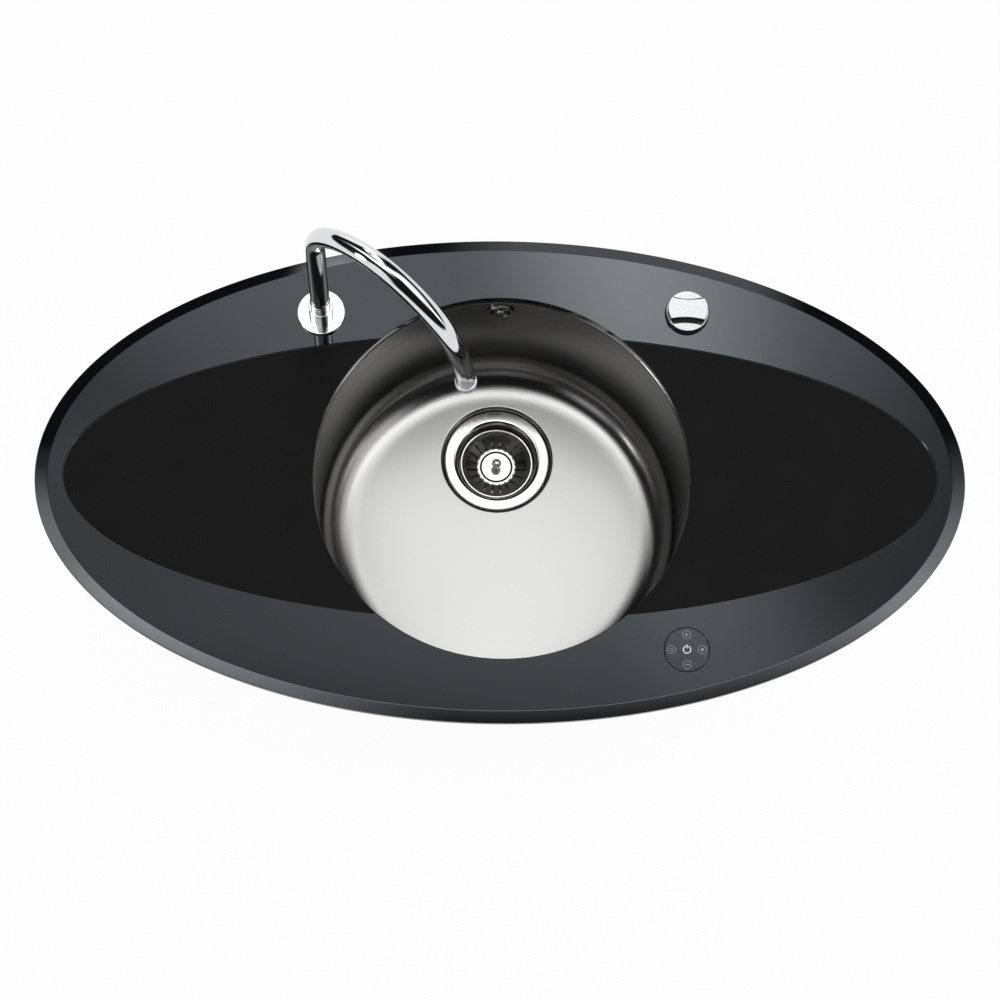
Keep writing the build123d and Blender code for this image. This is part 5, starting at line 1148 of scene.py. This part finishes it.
def make_world(scene):
    """A studio hung with dark cloth, pale along the horizon, with soft boxes overhead."""
    world = bpy.data.worlds.new("studio")
    world.use_nodes = True
    tree = world.node_tree
    tree.nodes.clear()
    way = add_node(tree, "ShaderNodeTexCoord").outputs["Generated"]
    up = add_node(tree, "ShaderNodeSeparateXYZ", {"Vector": way}).outputs["Z"]
    above = add_node(tree, "ShaderNodeMapRange", {"Value": up, "From Min": 0.0, "From Max": 0.12})
    fading = {"From Min": 0.02, "From Max": 0.08, "To Min": HORIZON_LIGHT, "To Max": SKY_LIGHT}
    total = add_node(tree, "ShaderNodeMapRange", {"Value": up, **fading})
    for (x, y), (half_x, half_y), turn, fade, strength in SOFT_BOXES:
        box = {"Location": (x, y, 0.0), "Rotation": (0.0, 0.0, turn), "Scale": (half_x, half_y, TALL)}
        placed = add_node(tree, "ShaderNodeMapping", {"Vector": way, **box}, vector_type="TEXTURE")
        away = add_node(tree, "ShaderNodeVectorMath", {0: placed}, operation="LENGTH")
        edge = {"From Min": 1 - fade, "From Max": 1 + fade, "To Min": strength, "To Max": 0.0}
        soft = add_node(tree, "ShaderNodeMapRange", {"Value": away, **edge}, interpolation_type="SMOOTHSTEP")
        lit = add_node(tree, "ShaderNodeMath", {0: soft, 1: above}, operation="MULTIPLY")
        total = add_node(tree, "ShaderNodeMath", {0: total, 1: lit}, operation="ADD")
    sky = add_node(tree, "ShaderNodeBackground", {"Color": (1.0, 1.0, 1.0, 1.0), "Strength": total})
    add_node(tree, "ShaderNodeOutputWorld", {"Surface": sky})
    scene.world = world


def make_floor(context):
    """Pale floor under the sink. Seen directly or in metal it is white, and it keeps the sink's shadow."""
    half = 12.0
    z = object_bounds()[0].z - MM
    bm = bmesh.new()
    corners = ((-half, -half), (half, -half), (half, half), (-half, half))
    bm.faces.new([bm.verts.new((x, y, z)) for x, y in corners])
    c = context.scene.sink_colours
    material = bpy.data.materials.new("floor_painted_board")
    material.use_nodes = True
    tree = material.node_tree
    tree.nodes.clear()
    paint = add_node(tree, "ShaderNodeBsdfDiffuse", {"Color": (*scaled(c.floor, 0.8), 1.0)})
    glow = add_node(tree, "ShaderNodeEmission", {"Color": (*c.floor, 1.0), "Strength": 1.0})
    path = add_node(tree, "ShaderNodeLightPath").outputs
    seen = path["Is Camera Ray"]
    for name in ("Is Glossy Ray", "Is Transmission Ray"):
        seen = add_node(tree, "ShaderNodeMath", {0: seen, 1: path[name]}, operation="MAXIMUM")
    part = add_node(tree, "ShaderNodeMath", {0: seen, 1: 1.0 - c.floor_shadow}, operation="MULTIPLY")
    mixed = add_node(tree, "ShaderNodeMixShader", {0: part, 1: paint, 2: glow})
    # From below, the camera looks through the floor at the underside of the sink.
    under = add_node(tree, "ShaderNodeNewGeometry").outputs["Backfacing"]
    through = add_node(tree, "ShaderNodeMath", {0: under, 1: path["Is Camera Ray"]}, operation="MULTIPLY")
    clear = add_node(tree, "ShaderNodeBsdfTransparent")
    board = add_node(tree, "ShaderNodeMixShader", {0: through, 1: mixed, 2: clear})
    add_node(tree, "ShaderNodeOutputMaterial", {"Surface": board})
    FINISHES["floor"] = material
    floor = add_object("studio_floor", bm, "floor")
    floor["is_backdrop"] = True


def make_camera(scene):
    """The camera of the picture: its place, heading and lens."""
    yaw, pitch, roll = CAMERA_YAW, CAMERA_PITCH, CAMERA_ROLL
    ahead = Vector((-sin(yaw) * cos(pitch), cos(yaw) * cos(pitch), -sin(pitch)))
    right = Vector((cos(yaw), sin(yaw), 0.0))
    over = right.cross(ahead)
    across = right * cos(roll) + over * sin(roll)
    upward = over * cos(roll) - right * sin(roll)
    turn = Matrix((across, upward, -ahead)).transposed().to_4x4()
    lens = bpy.data.cameras.new("camera")
    lens.lens = CAMERA_LENS
    lens.sensor_width = SENSOR
    lens.sensor_fit = "HORIZONTAL"
    lens.clip_end = 50.0
    camera = bpy.data.objects.new("camera", lens)
    camera.matrix_world = Matrix.Translation(CAMERA_PLACE) @ turn
    scene.collection.objects.link(camera)
    scene.camera = camera


class SINK_OT_stage(bpy.types.Operator):
    """Sets the floor, the studio light and the camera"""

    bl_idname = "sink.stage"
    bl_label = "Stage"

    def execute(self, context):
        scene = context.scene
        make_world(scene)
        make_floor(context)
        make_camera(scene)
        scene.view_settings.view_transform = "Standard"
        return {"FINISHED"}


OPERATORS = (
    SINK_OT_finishes,
    SINK_OT_glass,
    SINK_OT_bowl,
    SINK_OT_waste,
    SINK_OT_basket,
    SINK_OT_overflow,
    SINK_OT_tap,
    SINK_OT_knob,
    SINK_OT_pad,
    SINK_OT_fixings,
    SINK_OT_stage,
)


class SINK_PT_panel(bpy.types.Panel):
    """Lists the pieces with their sizes and colours"""

    bl_idname = "SINK_PT_panel"
    bl_label = "Glass inset sink"
    bl_space_type = "VIEW_3D"
    bl_region_type = "UI"
    bl_category = "Sink"

    def draw(self, context):
        for operator in OPERATORS:
            self.layout.operator(operator.bl_idname)
        for group in (context.scene.sink_sizes, context.scene.sink_colours):
            box = self.layout.box()
            for name in type(group).__annotations__:
                box.prop(group, name)


CLASSES = (SinkSizes, SinkColours, *OPERATORS, SINK_PT_panel)


def register():
    for item in CLASSES:
        bpy.utils.register_class(item)
    bpy.types.Scene.sink_sizes = bpy.props.PointerProperty(type=SinkSizes)
    bpy.types.Scene.sink_colours = bpy.props.PointerProperty(type=SinkColours)


def unregister():
    del bpy.types.Scene.sink_colours
    del bpy.types.Scene.sink_sizes
    for item in reversed(CLASSES):
        bpy.utils.unregister_class(item)


def main():
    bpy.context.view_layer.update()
    register()
    for operator in OPERATORS:
        group, name = operator.bl_idname.split(".")
        getattr(getattr(bpy.ops, group), name)()


if __name__ == "__main__":
    main()
